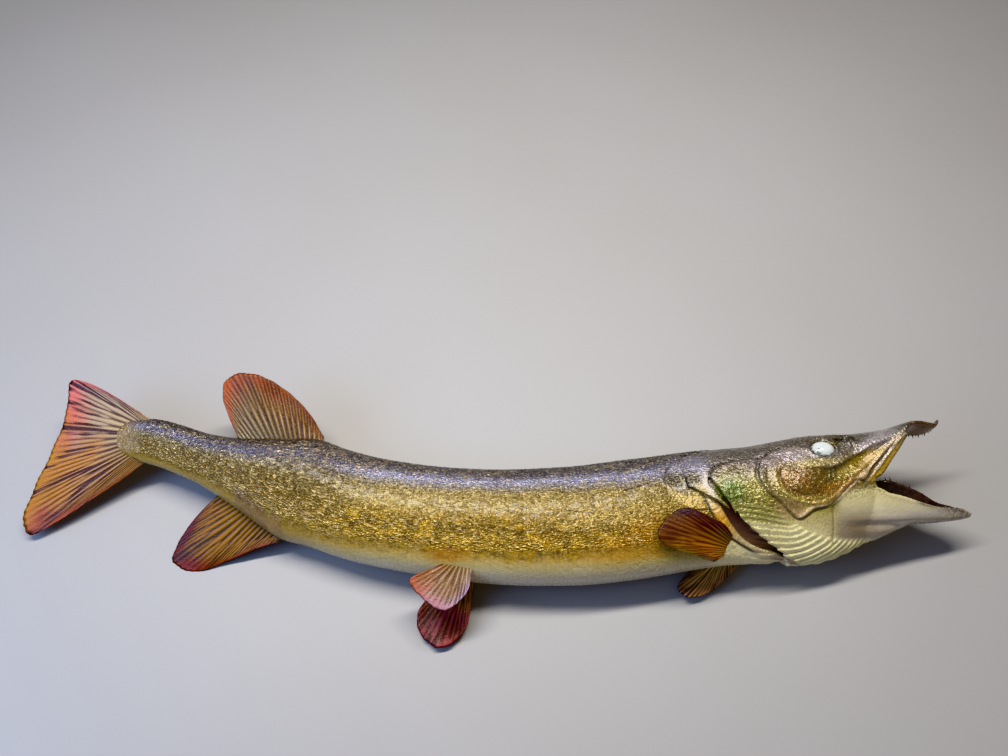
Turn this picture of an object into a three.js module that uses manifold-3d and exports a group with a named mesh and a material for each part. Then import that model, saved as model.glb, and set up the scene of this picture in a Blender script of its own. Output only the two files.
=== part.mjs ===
// A life-size skin mount of a pike, lying on its left flank with the mouth open.
//
// The fish is modelled straight and then bent. Straight coordinates, in millimetres:
//   s  along the body, the snout towards +s and the tail towards -s
//   h  up from the spine towards the back
//   w  out from the middle of the body towards the right flank
// pose() carries (s, h, w) to the finished frame: +X to the snout, +Y to the back, +Z up,
// with the right flank up and the left flank on the floor.
import * as THREE from 'three';
import { mergeVertices } from 'three/addons/utils/BufferGeometryUtils.js';
import Module from 'manifold-3d';

const wasm = await Module();
wasm.setup();

// ---------- driving dimensions, mm ----------
const GAP = 0.4; // between neighbouring pieces
const NECK_GAP = 1.5; // between the trunk and the head, where the body twists most
const FIN_GAP = 0.7; // between a fin's foot and the body, where bending shifts the faces
const NECK = 258; // s where the belly skin ends under the throat
const TRUNK_CUTS = [-235, -95, 70]; // s of the thin cuts that part the trunk
const SIDES = 26; // points round a body section
const HEAD_SIDES = 26;
const TRUNK_STEP = 24; // along the body, between sections
const HEAD_STEP = 16;
const TRUNK_FULLNESS = [2.15, 2.35]; // 2 is an ellipse: for the back and for the belly
const HEAD_FULLNESS = [2.1, 1.75];
const CHAMBER_FULLNESS = [2, 2];
const MOUTH_FULLNESS = 2.4;
const BILL_FULLNESS = 2.3;
const BEYOND = 600; // further than the fish reaches along s
const WIDE = 90; // further than it reaches in h and w
const FLOOR_CLEARANCE = 0.6; // of a fin tip that droops towards the floor
const EYE_RADIUS = 11.5;
const EYE = { s: 288, h: 36.5, w: 14.5 }; // the middle of each glass ball
const TOOTH = { lower: 4.4, upper: 4, radius: 1, sunk: 1.2 };

// How the spine lies in plan, how high it is over the floor, and how far the back is
// rolled up off the floor, in degrees: rows of [s, value].
const SPINE_Y = [
  [-480, 97], [-345, 85], [-290, 68], [-250, 55], [-195, 39], [-120, 16.5], [-20, 2],
  [60, 1.5], [110, 6.5], [190, 18], [236, 22], [290, 27], [350, 32.5], [440, 41],
];
const SPINE_Z = [
  [-480, 45], [-345, 40], [-250, 36], [-180, 32.5], [-120, 32], [0, 35.4],
  [110, 37], [150, 37.4], [190, 41], [250, 48.5], [320, 54], [440, 58],
];
const ROLL = [
  [-480, 22], [-345, 22], [-190, 15], [-60, 4], [60, 2], [150, 8], [220, 19],
  [300, 25], [440, 26],
];

// Body sections: s, height of the back over the spine, depth of the belly, half width.
const TRUNK = [
  { s: -352, up: 20, down: 20, half: 8 },
  { s: -343, up: 22, down: 22, half: 10.5 },
  { s: -315, up: 23, down: 22.5, half: 13 },
  { s: -290, up: 24, down: 24, half: 15.5 },
  { s: -268, up: 28, down: 28, half: 19 },
  { s: -245, up: 34, down: 34, half: 23 },
  { s: -218, up: 42, down: 43, half: 27 },
  { s: -192, up: 49, down: 49.5, half: 30 },
  { s: -165, up: 48.5, down: 48.5, half: 32 },
  { s: -120, up: 49.5, down: 49.5, half: 34.5 },
  { s: -70, up: 50.5, down: 50.5, half: 36 },
  { s: 0, up: 53, down: 53, half: 38 },
  { s: 60, up: 54.5, down: 54.5, half: 39 },
  { s: 110, up: 55, down: 55, half: 39.5 },
  { s: 150, up: 54, down: 54.5, half: 39 },
  { s: 190, up: 52, down: 55, half: 37 },
  { s: 225, up: 48, down: 57, half: 33 },
  { s: 262, up: 44, down: 58, half: 27 },
];
const HEAD = [
  { s: 168, up: 51, down: 55, half: 40 },
  { s: 190, up: 51, down: 58, half: 43 },
  { s: 212, up: 50, down: 60, half: 43 },
  { s: 235, up: 49.5, down: 61.5, half: 41.5 },
  { s: 258, up: 51, down: 62.5, half: 39.5 },
  { s: 280, up: 52, down: 62.5, half: 37 },
  { s: 300, up: 51, down: 58, half: 34 },
  { s: 318, up: 50, down: 51, half: 31 },
  { s: 330, up: 49.5, down: 49, half: 29 },
];
// The chamber behind the gill covers, inside HEAD.
const CHAMBER = [
  { s: 150, up: 30, down: 44, half: 27 },
  { s: 185, up: 34, down: 48, half: 31 },
  { s: 225, up: 34, down: 50, half: 30 },
  { s: 262, up: 28, down: 46, half: 24 },
];
// The upper jaw from the mouth's corner forward, a flat bill: top and edge heights, half
// width, and how many degrees its near edge is turned up.
const SNOUT = [
  { s: 316, top: 50, edge: 10, half: 25, tilt: 0 },
  { s: 328, top: 49.5, edge: 9, half: 26, tilt: 0 },
  { s: 338, top: 49.5, edge: 13, half: 26, tilt: 0 },
  { s: 348, top: 49.5, edge: 24, half: 25, tilt: 0 },
  { s: 358, top: 51, edge: 34, half: 22.5, tilt: 3 },
  { s: 366, top: 53, edge: 42.5, half: 20, tilt: 10 },
  { s: 374, top: 53.5, edge: 46, half: 17.5, tilt: 18 },
  { s: 382, top: 53, edge: 46, half: 15, tilt: 24 },
  { s: 390, top: 51.5, edge: 45, half: 12.5, tilt: 26 },
  { s: 397, top: 51, edge: 45.5, half: 9.5, tilt: 26 },
  { s: 402, top: 51.5, edge: 47.5, half: 6.5, tilt: 20 },
  { s: 406, top: 55.5, edge: 52, half: 2.5, tilt: 10 },
];
// The mouth's hollow: roof and floor heights and half width.
const MOUTH = [
  { s: 268, top: 4, edge: -8, half: 6 },
  { s: 300, top: 28, edge: -12, half: 20 },
  { s: 325, top: 37, edge: -14, half: 25 },
  { s: 345, top: 41, edge: -16, half: 21.5 },
  { s: 362, top: 44.5, edge: -16, half: 17 },
  { s: 372, top: 48.5, edge: 20, half: 12 },
];
// The lower jaw: near and far lip heights, chin depth, tongue-side floor, half width.
const JAW = [
  { s: 318, near: 2, far: 2, chin: -50, floor: -20, half: 29 },
  { s: 330, near: 2, far: 3, chin: -48.5, floor: -22, half: 28 },
  { s: 340, near: -4, far: 3, chin: -45, floor: -24, half: 27 },
  { s: 352, near: -8, far: 2, chin: -41, floor: -26, half: 25 },
  { s: 364, near: -13, far: 2, chin: -38, floor: -28, half: 22.5 },
  { s: 376, near: -18, far: -4, chin: -37.5, floor: -29, half: 19 },
  { s: 388, near: -22, far: -11, chin: -38, floor: -30, half: 15.5 },
  { s: 400, near: -24, far: -21, chin: -38, floor: -30, half: 12 },
  { s: 412, near: -26.5, far: -26, chin: -38, floor: -30, half: 8.5 },
  { s: 424, near: -31, far: -31, chin: -36.5, floor: -33, half: 3.5 },
];

// Side-view outlines in (s, h).
// The edge of the body skin, from the nape down the shoulder girdle to the throat.
const SHOULDER_EDGE = [
  [206, 48], [194, 33], [184, 21], [180, 5], [182, -9], [189, -21], [201, -31],
  [215, -39], [234, -47], [250, -54],
];
// The gill cover, clockwise from its upper rear corner.
const COVER = [
  [195, 31], [205, 35.5], [218, 37], [231.5, 37], [231.5, 27], [230.5, 18], [234, 8],
  [241, 0], [249, -11], [254, -17], [245, -28], [233, -39], [221, -27], [209, -16],
  [197, -5], [187, 4], [187, 20],
];
// The cheek under the eye, back to the angle of the preopercle.
const CHEEK = [
  [232, 36], [250, 29], [266, 26], [286, 24.5], [300, 25.5], [312, 29], [322, 33],
  [332, 37], [344, 41], [336, 24], [326, 10], [322, 7], [314, 12], [301, 4],
  [288, -5], [280, -8], [271, -10], [262, -15], [254.5, -16.5], [249.5, -10.5], [241.5, 0.5],
  [234.5, 8.5], [231, 18], [232, 27],
];
// The pleated throat skin on its rays.
const PLEATS = [
  [233.5, -39.5], [245.5, -28.5], [254.5, -17.5], [262, -16], [271, -11], [288, -21],
  [290, -40], [306, -45], [318, -49], [318, -80], [225, -80], [233.5, -50],
];
// Skin of the lower jaw behind the mouth's corner.
const JAW_REAR = [
  [271.5, -10.5], [280, -8.5], [288, -5.5], [301, 3.5], [314, 11.5], [322, 6], [322, -70],
  [318.5, -70], [318.5, -49], [306, -44.5], [290.5, -39.5], [288.5, -20.5],
];
// The skull's skin over the eye, from the nape to the snout.
const SKULL = [
  [206.5, 48], [194.5, 33], [205, 36], [218, 37.5], [232, 37.5], [250, 29.5], [266, 26.5],
  [286, 25], [300, 26], [312, 29.5], [322, 33.5], [332, 37.5], [344.5, 41.5], [358, 45.5],
  [367, 48], [367, 30], [420, 30], [420, WIDE], [216, WIDE],
];
const MAXILLA = [
  [322.5, 7], [326.5, 10.5], [336.5, 24.5], [344.5, 41], [358, 45], [366.5, 47.5],
  [366.5, 30], [340, 0], [326, 0],
];

// Fins: the root line and the free edge, as (s, h, w) points, front to back.
const FINS = {
  dorsal_fin: {
    root: [[-186, 44, 0], [-225, 36, 0], [-262, 24, 0]],
    edge: [[-189, 53, 0], [-208, 71, 0], [-236, 86, 0], [-264, 92, 0], [-284, 88, 0],
      [-295, 75, 0], [-291, 61, 0], [-279, 43, 0], [-268, 31, 0]],
    bow: 5, thick: 3.4,
  },
  anal_fin: {
    root: [[-193, -44, 0], [-228, -36, 0], [-262, -24, 0]],
    edge: [[-196, -53, 0], [-213, -64, 0], [-236, -83, 0], [-262, -103, 0],
      [-284, -100, 0], [-285, -84, 0], [-278, -58, 0], [-272, -44, 0], [-266, -33, 0]],
    bow: -4, thick: 3.4,
  },
  caudal_fin: {
    root: [[-343, 19, 0], [-347, 0, 0], [-343, -19, 0]],
    edge: [[-362, 27, 0], [-388, 40, -2], [-418, 51, -6], [-434, 50, -9], [-431, 24, -5],
      [-431, 0, 0], [-437, -25, 0], [-446, -56, 0], [-452, -84, 0], [-446, -101, 0],
      [-424, -89, 0], [-398, -69, 0], [-368, -44, 0], [-352, -30, 0]],
    bow: 4, thick: 5,
  },
  pelvic_fin_right: {
    root: [[-22, -40, 19], [-34, -40, 21], [-46, -42, 21]],
    edge: [[-24, -50, 21], [-25, -66, 20], [-42, -83, 17], [-62, -73, 17], [-73, -60, 20],
      [-60, -50, 21]],
    bow: 3, thick: 3,
  },
  pelvic_fin_left: {
    root: [[-22, -42, -17], [-34, -42, -19], [-46, -43, -19]],
    edge: [[-24, -60, -20], [-28, -92, -24], [-46, -109, -24], [-64, -98, -24],
      [-68, -80, -22], [-58, -60, -20]],
    bow: 3, thick: 3,
  },
  pectoral_fin_right: {
    root: [[200, -30, 30.5], [194, -38, 27.5], [187, -46, 22]],
    edge: [[189, -17, 39], [158, -5, 45.5], [135, -14, 45], [126, -28, 42], [131, -35, 40],
      [157, -44, 34], [178, -51, 25]],
    bow: 2, lift: 6, thick: 3,
  },
  pectoral_fin_left: {
    root: [[206, -38, -24], [200, -44, -19], [193, -50, -13]],
    edge: [[205, -60, -14], [188, -70, -17], [168, -77, -18], [153, -75, -19], [148, -66, -22],
      [158, -56, -28], [180, -46, -31]],
    bow: 2, thick: 3,
  },
};
const FIN_COLUMNS = 14;
const FIN_ROWS = 4;

// Teeth: [s, w as a share of the half width, size].
const LOWER_TEETH = [
  [352, -0.9, 0.8], [360, -0.9, 1], [368, -0.88, 1.1], [377, -0.86, 1.2], [386, -0.84, 1],
  [356, 0.84, 0.8], [368, 0.82, 1], [380, 0.8, 1], [391, 0.76, 0.8],
];
const UPPER_TEETH = [
  [379, -0.74], [383, -0.72], [387, -0.7], [391, -0.68], [395, -0.66], [399, -0.6],
  [383, 0.7], [391, 0.66],
];

// ---------- interpolation and pose ----------
// A smooth curve through the rows of a table: cubic, with slopes from the neighbours.
function along(table, s, key = 1, at = 0) {
  const last = table.length - 1;
  const slope = (k) => {
    const a = table[Math.max(k - 1, 0)];
    const b = table[Math.min(k + 1, last)];
    return (b[key] - a[key]) / (b[at] - a[at]);
  };
  let i = 0;
  while (i < last - 1 && s > table[i + 1][at]) i += 1;
  const from = table[i];
  const to = table[i + 1];
  const span = to[at] - from[at];
  const t = (s - from[at]) / span;
  if (t < 0) return from[key] + (s - from[at]) * slope(i);
  if (t > 1) return to[key] + (s - to[at]) * slope(i + 1);
  const t2 = t * t;
  const t3 = t2 * t;
  return (2 * t3 - 3 * t2 + 1) * from[key] + (t3 - 2 * t2 + t) * slope(i) * span
    + (3 * t2 - 2 * t3) * to[key] + (t3 - t2) * slope(i + 1) * span;
}

const spinePoint = (s) => new THREE.Vector3(s, along(SPINE_Y, s), along(SPINE_Z, s));

function place(s, h, w) {
  const centre = spinePoint(s);
  const ahead = spinePoint(s + 0.5).sub(spinePoint(s - 0.5)).normalize();
  const back = new THREE.Vector3(-ahead.y, ahead.x, 0).normalize();
  const flank = new THREE.Vector3().crossVectors(ahead, back);
  const roll = THREE.MathUtils.degToRad(along(ROLL, s));
  back.applyAxisAngle(ahead, roll);
  flank.applyAxisAngle(ahead, roll);
  return centre.addScaledVector(back, h).addScaledVector(flank, w);
}

// Bends a straight geometry into the mount's pose. Nothing goes below the lowest level.
function pose(geometry, lowest = 0) {
  const points = geometry.attributes.position;
  for (let i = 0; i < points.count; i += 1) {
    const p = place(points.getX(i), points.getY(i), points.getZ(i));
    points.setXYZ(i, p.x, p.y, Math.max(p.z, lowest));
  }
  return geometry;
}

// ---------- solids ----------
const AHEAD = new THREE.Vector3(1, 0, 0);

// A closed surface through rings that all have the same number of points.
function loft(rings) {
  const sides = rings[0].length;
  const points = rings.flat();
  const index = [];
  const corner = (r, k) => r * sides + (k % sides);
  for (let r = 0; r < rings.length - 1; r += 1) {
    for (let k = 0; k < sides; k += 1) {
      index.push(corner(r, k), corner(r, k + 1), corner(r + 1, k));
      index.push(corner(r + 1, k), corner(r, k + 1), corner(r + 1, k + 1));
    }
  }
  for (const [r, turn] of [[0, 1], [rings.length - 1, 0]]) {
    const middle = rings[r].reduce((sum, p) => sum.add(p), new THREE.Vector3());
    points.push(middle.divideScalar(sides));
    for (let k = 0; k < sides; k += 1) {
      index.push(points.length - 1, corner(r, k + turn), corner(r, k + 1 - turn));
    }
  }
  return new THREE.BufferGeometry().setFromPoints(points).setIndex(index);
}

function solid(geometry) {
  const bare = geometry.index ? geometry.toNonIndexed() : geometry.clone();
  bare.deleteAttribute('normal');
  bare.deleteAttribute('uv');
  const merged = mergeVertices(bare, 1e-4);
  const mesh = new wasm.Mesh({
    numProp: 3,
    vertProperties: merged.attributes.position.array,
    triVerts: new Uint32Array(merged.index.array),
  });
  const made = new wasm.Manifold(mesh);
  if (made.volume() > 0) return made;
  mesh.triVerts = mesh.triVerts.toReversed(); // the surface was inside out
  return new wasm.Manifold(mesh);
}

function shape(manifold) {
  const mesh = manifold.getMesh();
  const geometry = new THREE.BufferGeometry();
  geometry.setAttribute('position', new THREE.BufferAttribute(mesh.vertProperties, 3));
  geometry.setIndex(new THREE.BufferAttribute(mesh.triVerts, 1));
  return geometry;
}

// The largest single body of a cut, without its crumbs.
function largest(manifold) {
  const bodies = manifold.decompose();
  return bodies.reduce((best, body) => (body.volume() > best.volume() ? body : best));
}

// A body section: an oval whose fullness is set for the back and the belly apart.
function section(s, up, down, half, fullUp, fullDown, sides) {
  const ring = [];
  for (let k = 0; k < sides; k += 1) {
    const turn = (2 * Math.PI * k) / sides;
    const c = Math.cos(turn);
    const d = Math.sin(turn);
    const power = 2 / (c >= 0 ? fullUp : fullDown);
    const h = Math.sign(c) * Math.abs(c) ** power * (c >= 0 ? up : down);
    ring.push(new THREE.Vector3(s, h, Math.sign(d) * Math.abs(d) ** power * half));
  }
  return ring;
}

function bodyLoft(table, grow, [fullUp, fullDown], sides, step) {
  const first = table[0].s;
  const last = table[table.length - 1].s;
  const count = Math.ceil((last - first) / step);
  const rings = [];
  for (let i = 0; i <= count; i += 1) {
    const s = first + ((last - first) * i) / count;
    const [up, down, half] = ['up', 'down', 'half'].map((key) => along(table, s, key, 's'));
    const end = i === 0 ? -grow : 0;
    rings.push(section(s + end, up + grow, down + grow, half + grow, fullUp, fullDown, sides));
  }
  return solid(loft(rings));
}

// A straight-sided cutter with the given side-view outline, from w0 to w1.
function prism(outline, w0 = -WIDE, w1 = WIDE) {
  const face = new THREE.Shape(outline.map(([s, h]) => new THREE.Vector2(s, h)));
  const geometry = new THREE.ExtrudeGeometry(face, { depth: w1 - w0, bevelEnabled: false });
  return solid(geometry.translate(0, 0, w0));
}

// An outline moved inwards by half a gap, so that neighbours stay apart.
function inset(outline, by = GAP / 2) {
  const turn = Math.sign(THREE.ShapeUtils.area(outline.map(([x, y]) => ({ x, y }))));
  return outline.map((point, i) => {
    const before = outline[(i + outline.length - 1) % outline.length];
    const after = outline[(i + 1) % outline.length];
    const a = new THREE.Vector2(point[0] - before[0], point[1] - before[1]).normalize();
    const b = new THREE.Vector2(after[0] - point[0], after[1] - point[1]).normalize();
    const inward = new THREE.Vector2(-a.y - b.y, a.x + b.x).normalize().multiplyScalar(turn);
    const reach = by / Math.max(0.35, Math.abs(inward.dot(new THREE.Vector2(-a.y, a.x))));
    return [point[0] + inward.x * reach, point[1] + inward.y * reach];
  });
}

// ---------- the trunk ----------
const trunk = bodyLoft(TRUNK, 0, TRUNK_FULLNESS, SIDES, TRUNK_STEP);
const trunkGrown = bodyLoft(TRUNK, FIN_GAP, TRUNK_FULLNESS, SIDES, TRUNK_STEP);
const shoulder = [[216, WIDE], ...SHOULDER_EDGE, [NECK + 2, -WIDE]];
const behindShoulder = [...shoulder, [-BEYOND, -WIDE], [-BEYOND, WIDE]];
const aheadOfShoulder = [...shoulder, [BEYOND, -WIDE], [BEYOND, WIDE]];
const between = (s0, s1) => prism([[s0, -WIDE], [s1, -WIDE], [s1, WIDE], [s0, WIDE]]);

function trunkPieces() {
  const ends = [-BEYOND, ...TRUNK_CUTS, BEYOND];
  const skin = trunk.intersect(prism(inset(behindShoulder)));
  const names = ['tail_stalk', 'trunk_rear', 'trunk_middle', 'trunk_front'];
  return names.map((name, i) => {
    const cut = between(ends[i] + GAP / 2, ends[i + 1] - GAP / 2);
    return [name, largest(skin.intersect(cut)), 'flank'];
  });
}

// ---------- the head ----------
const inHead = prism(inset(aheadOfShoulder, NECK_GAP));
const head = bodyLoft(HEAD, 0, HEAD_FULLNESS, HEAD_SIDES, HEAD_STEP).intersect(inHead);
const chamber = bodyLoft(CHAMBER, 0, CHAMBER_FULLNESS, 18, TRUNK_STEP);
const chamberGrown = bodyLoft(CHAMBER, GAP, CHAMBER_FULLNESS, 18, TRUNK_STEP);

// A loft of ovals between a top and an edge height, each turned by its tilt.
function ovalLoft(table, fullness, sides) {
  const rings = table.map(({ s, top, edge, half, tilt = 0 }) => {
    const middle = new THREE.Vector3(s, (top + edge) / 2, 0);
    const turn = THREE.MathUtils.degToRad(tilt);
    return section(s, (top - edge) / 2, (top - edge) / 2, half, fullness, fullness, sides)
      .map((p) => p.applyAxisAngle(AHEAD, -turn).setY(p.y + middle.y));
  });
  return solid(loft(rings));
}

// The lower jaw's section: lips, outer wall and chin, with a trough between the lips.
function jawRing({ s, near, far, chin, floor, half }) {
  const wall = Math.min(4, half * 0.3);
  const profile = [
    [near, half - wall * 0.35], [near - 1, half], [(near + chin) / 2, half * 0.93],
    [chin + (near - chin) * 0.14, half * 0.6], [chin, 0],
    [chin + (far - chin) * 0.14, -half * 0.6], [(far + chin) / 2, -half * 0.93],
    [far - 1, -half], [far, -half + wall * 0.35], [far - 1.5, -half + wall],
    [(far + floor) / 2 - 2, -half * 0.62], [floor, 0], [(near + floor) / 2 - 2, half * 0.62],
    [near - 1.5, half - wall],
  ];
  return profile.map(([h, w]) => new THREE.Vector3(s, h, w));
}

function tooth(s, h, w, size, radius, direction) {
  const cone = new THREE.ConeGeometry(radius, size, 5);
  cone.translate(0, size / 2 - TOOTH.sunk, 0);
  if (direction < 0) cone.rotateX(Math.PI);
  return solid(cone.translate(s, h, w));
}

function lowerJaw(hollow) {
  const rear = head.subtract(hollow).subtract(chamberGrown)
    .intersect(prism(inset(JAW_REAR)));
  let jaw = solid(loft(JAW.map(jawRing))).add(rear).subtract(hollow);
  for (const [s, across, size] of LOWER_TEETH) {
    const half = along(JAW, s, 'half', 's');
    const lip = along(JAW, s, across < 0 ? 'far' : 'near', 's');
    jaw = jaw.add(tooth(s, lip, across * half, TOOTH.lower * size, TOOTH.radius, 1));
  }
  return largest(jaw);
}

function eyeBall(side, radius) {
  const ball = new THREE.SphereGeometry(radius, 14, 9);
  return solid(ball.translate(EYE.s, EYE.h, side * EYE.w));
}

function upperHead(whole) {
  let skull = whole.intersect(prism(inset(SKULL)));
  for (const side of [1, -1]) skull = skull.subtract(eyeBall(side, EYE_RADIUS + GAP));
  for (const [s, across] of UPPER_TEETH) {
    const [top, edge, half, tilt] = ['top', 'edge', 'half', 'tilt']
      .map((key) => along(SNOUT, s, key, 's'));
    const drop = across * half * Math.sin(THREE.MathUtils.degToRad(tilt));
    const height = (top + edge) / 2 + drop - (top - edge) * 0.28;
    skull = skull.add(tooth(s, height, across * half, TOOTH.upper, TOOTH.radius, -1));
  }
  return largest(skull);
}

function headPieces() {
  const hollow = ovalLoft(MOUTH, MOUTH_FULLNESS, 16);
  const bill = ovalLoft(SNOUT, BILL_FULLNESS, 22);
  const shell = head.add(bill).subtract(hollow).subtract(chamberGrown);
  const pieces = [
    ['head_upper', upperHead(shell), 'head'],
    ['lower_jaw', lowerJaw(hollow), 'jaw'],
    ['gill_chamber', largest(chamber.intersect(inHead)), 'gill'],
  ];
  for (const [side, word] of [[1, 'right'], [-1, 'left']]) {
    const [w0, w1] = side > 0 ? [GAP, WIDE] : [-WIDE, -GAP];
    const half = (outline) => prism(inset(outline), w0, w1);
    const socket = eyeBall(side, EYE_RADIUS + GAP);
    const cut = (outline) => largest(shell.intersect(half(outline)).subtract(socket));
    pieces.push([`gill_cover_${word}`, cut(COVER), 'head']);
    pieces.push([`cheek_${word}`, cut(CHEEK), 'head']);
    pieces.push([`throat_pleats_${word}`, cut(PLEATS), 'throat']);
    pieces.push([`maxilla_${word}`, cut(MAXILLA), 'head']);
    pieces.push([`eye_${word}`, eyeBall(side, EYE_RADIUS), 'eye']);
  }
  return pieces;
}

// ---------- fins ----------
const curveThrough = (rows) => new THREE.CatmullRomCurve3(
  rows.map((row) => new THREE.Vector3(...row)), false, 'centripetal',
);

// A thin solid between its foot and its rim. bow curves its middle rays out at the rim,
// and lift arches the whole fin off the body.
function finSolid({ root, edge, bow, lift = 0, thick }) {
  const foot = curveThrough(root);
  const rim = curveThrough(edge);
  const point = (u, v) => {
    const p = foot.getPointAt(u).lerp(rim.getPointAt(u), v);
    p.z += bow * v * v * Math.sin(Math.PI * u) + lift * Math.sin(Math.PI * v);
    return p;
  };
  const step = 0.01;
  const across = (u, v) => {
    const du = point(Math.min(1, u + step), v).sub(point(Math.max(0, u - step), v));
    const dv = point(u, Math.min(1, v + step)).sub(point(u, Math.max(0, v - step)));
    return du.cross(dv).normalize();
  };
  const rings = [];
  for (let i = 0; i <= FIN_COLUMNS; i += 1) {
    const u = i / FIN_COLUMNS;
    const near = [];
    const far = [];
    for (let j = 0; j <= FIN_ROWS; j += 1) {
      const v = j / FIN_ROWS;
      const rounded = 0.45 + 0.55 * Math.sqrt(Math.sin(Math.PI * (0.06 + 0.88 * u)));
      const half = (thick / 2) * (1 - 0.62 * v) * rounded;
      const normal = across(u, Math.max(0.05, v));
      near.push(point(u, v).addScaledVector(normal, half));
      far.unshift(point(u, v).addScaledVector(normal, -half));
    }
    rings.push([...near, ...far]);
  }
  return solid(loft(rings));
}

function finPieces() {
  return Object.entries(FINS).map(([name, fin]) => {
    const cut = finSolid(fin).subtract(trunkGrown);
    return [name, largest(cut), 'fin', FLOOR_CLEARANCE];
  });
}

// ---------- colours and the finished group ----------
const FINISH = {
  flank: { color: 0x8a7a3c, roughness: 0.25, metalness: 0 },
  head: { color: 0x7d6a3a, roughness: 0.25, metalness: 0 },
  jaw: { color: 0xc9bf93, roughness: 0.3, metalness: 0 },
  throat: { color: 0xd3cb90, roughness: 0.3, metalness: 0 },
  gill: { color: 0x4a2a30, roughness: 0.5, metalness: 0 },
  fin: { color: 0xa2552c, roughness: 0.3, metalness: 0 },
  eye: { color: 0xcfd8dc, roughness: 0.08, metalness: 0 },
};

const model = new THREE.Group();
for (const [name, body, finish, lowest] of [...trunkPieces(), ...headPieces(), ...finPieces()]) {
  const material = new THREE.MeshStandardMaterial(FINISH[finish]);
  const mesh = new THREE.Mesh(pose(shape(body), lowest), material);
  mesh.name = name;
  model.add(mesh);
}

// The origin is the middle of the footprint, at floor level.
const extent = new THREE.Box3().setFromObject(model);
const middle = extent.getCenter(new THREE.Vector3());
model.position.set(-middle.x, -middle.y, -extent.min.z);

export default model;
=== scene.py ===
"""A life-size skin mount of a pike, lying on its left flank with the mouth open.

The fish is modelled straight, in millimetres, and then bent into its pose:
  s  along the body, the snout towards +s and the tail towards -s
  h  up from the spine towards the back
  w  out from the middle of the body towards the right flank
bend() carries (s, h, w) to the frame, in metres.
"""

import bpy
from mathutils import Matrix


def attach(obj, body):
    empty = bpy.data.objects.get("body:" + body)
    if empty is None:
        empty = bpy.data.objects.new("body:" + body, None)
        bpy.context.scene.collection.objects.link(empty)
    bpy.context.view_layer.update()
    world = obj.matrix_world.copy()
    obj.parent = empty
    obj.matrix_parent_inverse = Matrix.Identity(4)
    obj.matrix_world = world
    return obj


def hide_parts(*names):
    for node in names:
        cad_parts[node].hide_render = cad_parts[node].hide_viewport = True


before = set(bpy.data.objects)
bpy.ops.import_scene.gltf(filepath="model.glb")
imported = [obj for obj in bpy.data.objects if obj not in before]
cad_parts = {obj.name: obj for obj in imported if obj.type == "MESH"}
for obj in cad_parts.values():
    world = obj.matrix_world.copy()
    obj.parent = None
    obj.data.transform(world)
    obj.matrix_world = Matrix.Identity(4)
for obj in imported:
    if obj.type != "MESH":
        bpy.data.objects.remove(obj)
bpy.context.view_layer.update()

import math

import bmesh
import bpy
import numpy as np
from mathutils import Matrix, Vector

bl_info = {
    "name": "Mounted pike",
    "version": (1, 0, 0),
    "blender": (4, 5, 0),
    "location": "View3D > Sidebar > Pike",
    "description": "Builds a life-size mounted pike and its stage",
    "category": "Object",
}

MM = 0.001
SEED = 7

# ---------- the camera: a pinhole, in pixels, degrees and millimetres ----------
IMAGE_WIDTH = 1008
CAMERA_FOCUS = 757.0
CAMERA_ELEVATION = 60.0
CAMERA_PLACE = (0.0, -229.8, 707.1)
SENSOR_WIDTH = 36.0

# ---------- sizes and clearances, in millimetres where nothing else is said ----------
# How far the skin lies inside the scaled body, and a scale's length against its width.
SCALE_DEPTH = 0.7
SCALE_STRETCH = 1.22
SCALE_THICKNESS = 0.17
# The first and last rows of scales. The skin under them, up to SCALES_COVER, needs few faces.
SCALE_ROWS = (-351, 216)
SCALES_COVER = 170
TRUNK_KEEPS = 0.62
# Half the room that one scale takes on its bake map, which is 1 wide.
BAKE_PATCH = 0.0015
COVER_THICKNESS = 2.4
COVER_WAVE = 4.6
CUTTER_REACH = 95.0
FIN_STEP = 0.004
# How far above the floor each piece's lowest points lie, and the lowest root of a scale.
SKIN_LOWEST = 0.05
SCALE_LOWEST = 0.02
FIN_LOWEST = 0.6
SCALES_LOWEST = 1.0

# ---------- the stage, in metres ----------
FLOOR_HALF = 4.0
KEY_LIGHT = dict(size=(1.2, 0.1), location=(-0.08, 0.36, 1.2), target=(0.0, 0.0, 0.03),
                 shade=(1.0, 0.95, 0.86))
WINDOW_LIGHT = dict(size=(0.8, 0.8), location=(-1.05, -0.3, 0.75), target=(-0.3, -0.15, 0.0),
                    shade=(0.36, 0.55, 1.0))
ROOM_SHADE = (1.0, 0.91, 0.83, 1.0)

# ---------- the pose, as rows of (s, value) ----------
SPINE_Y = [
    (-480, 97), (-345, 85), (-290, 68), (-250, 55), (-195, 39), (-120, 16.5), (-20, 2),
    (60, 1.5), (110, 6.5), (190, 18), (236, 22), (290, 27), (350, 32.5), (440, 41),
]
SPINE_Z = [
    (-480, 45), (-345, 40), (-250, 36), (-180, 32.5), (-120, 32), (0, 35.4),
    (110, 37), (150, 37.4), (190, 41), (250, 48.5), (320, 54), (440, 58),
]
ROLL = [
    (-480, 22), (-345, 22), (-190, 15), (-60, 4), (60, 2), (150, 8), (220, 19),
    (300, 25), (440, 26),
]

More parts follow.
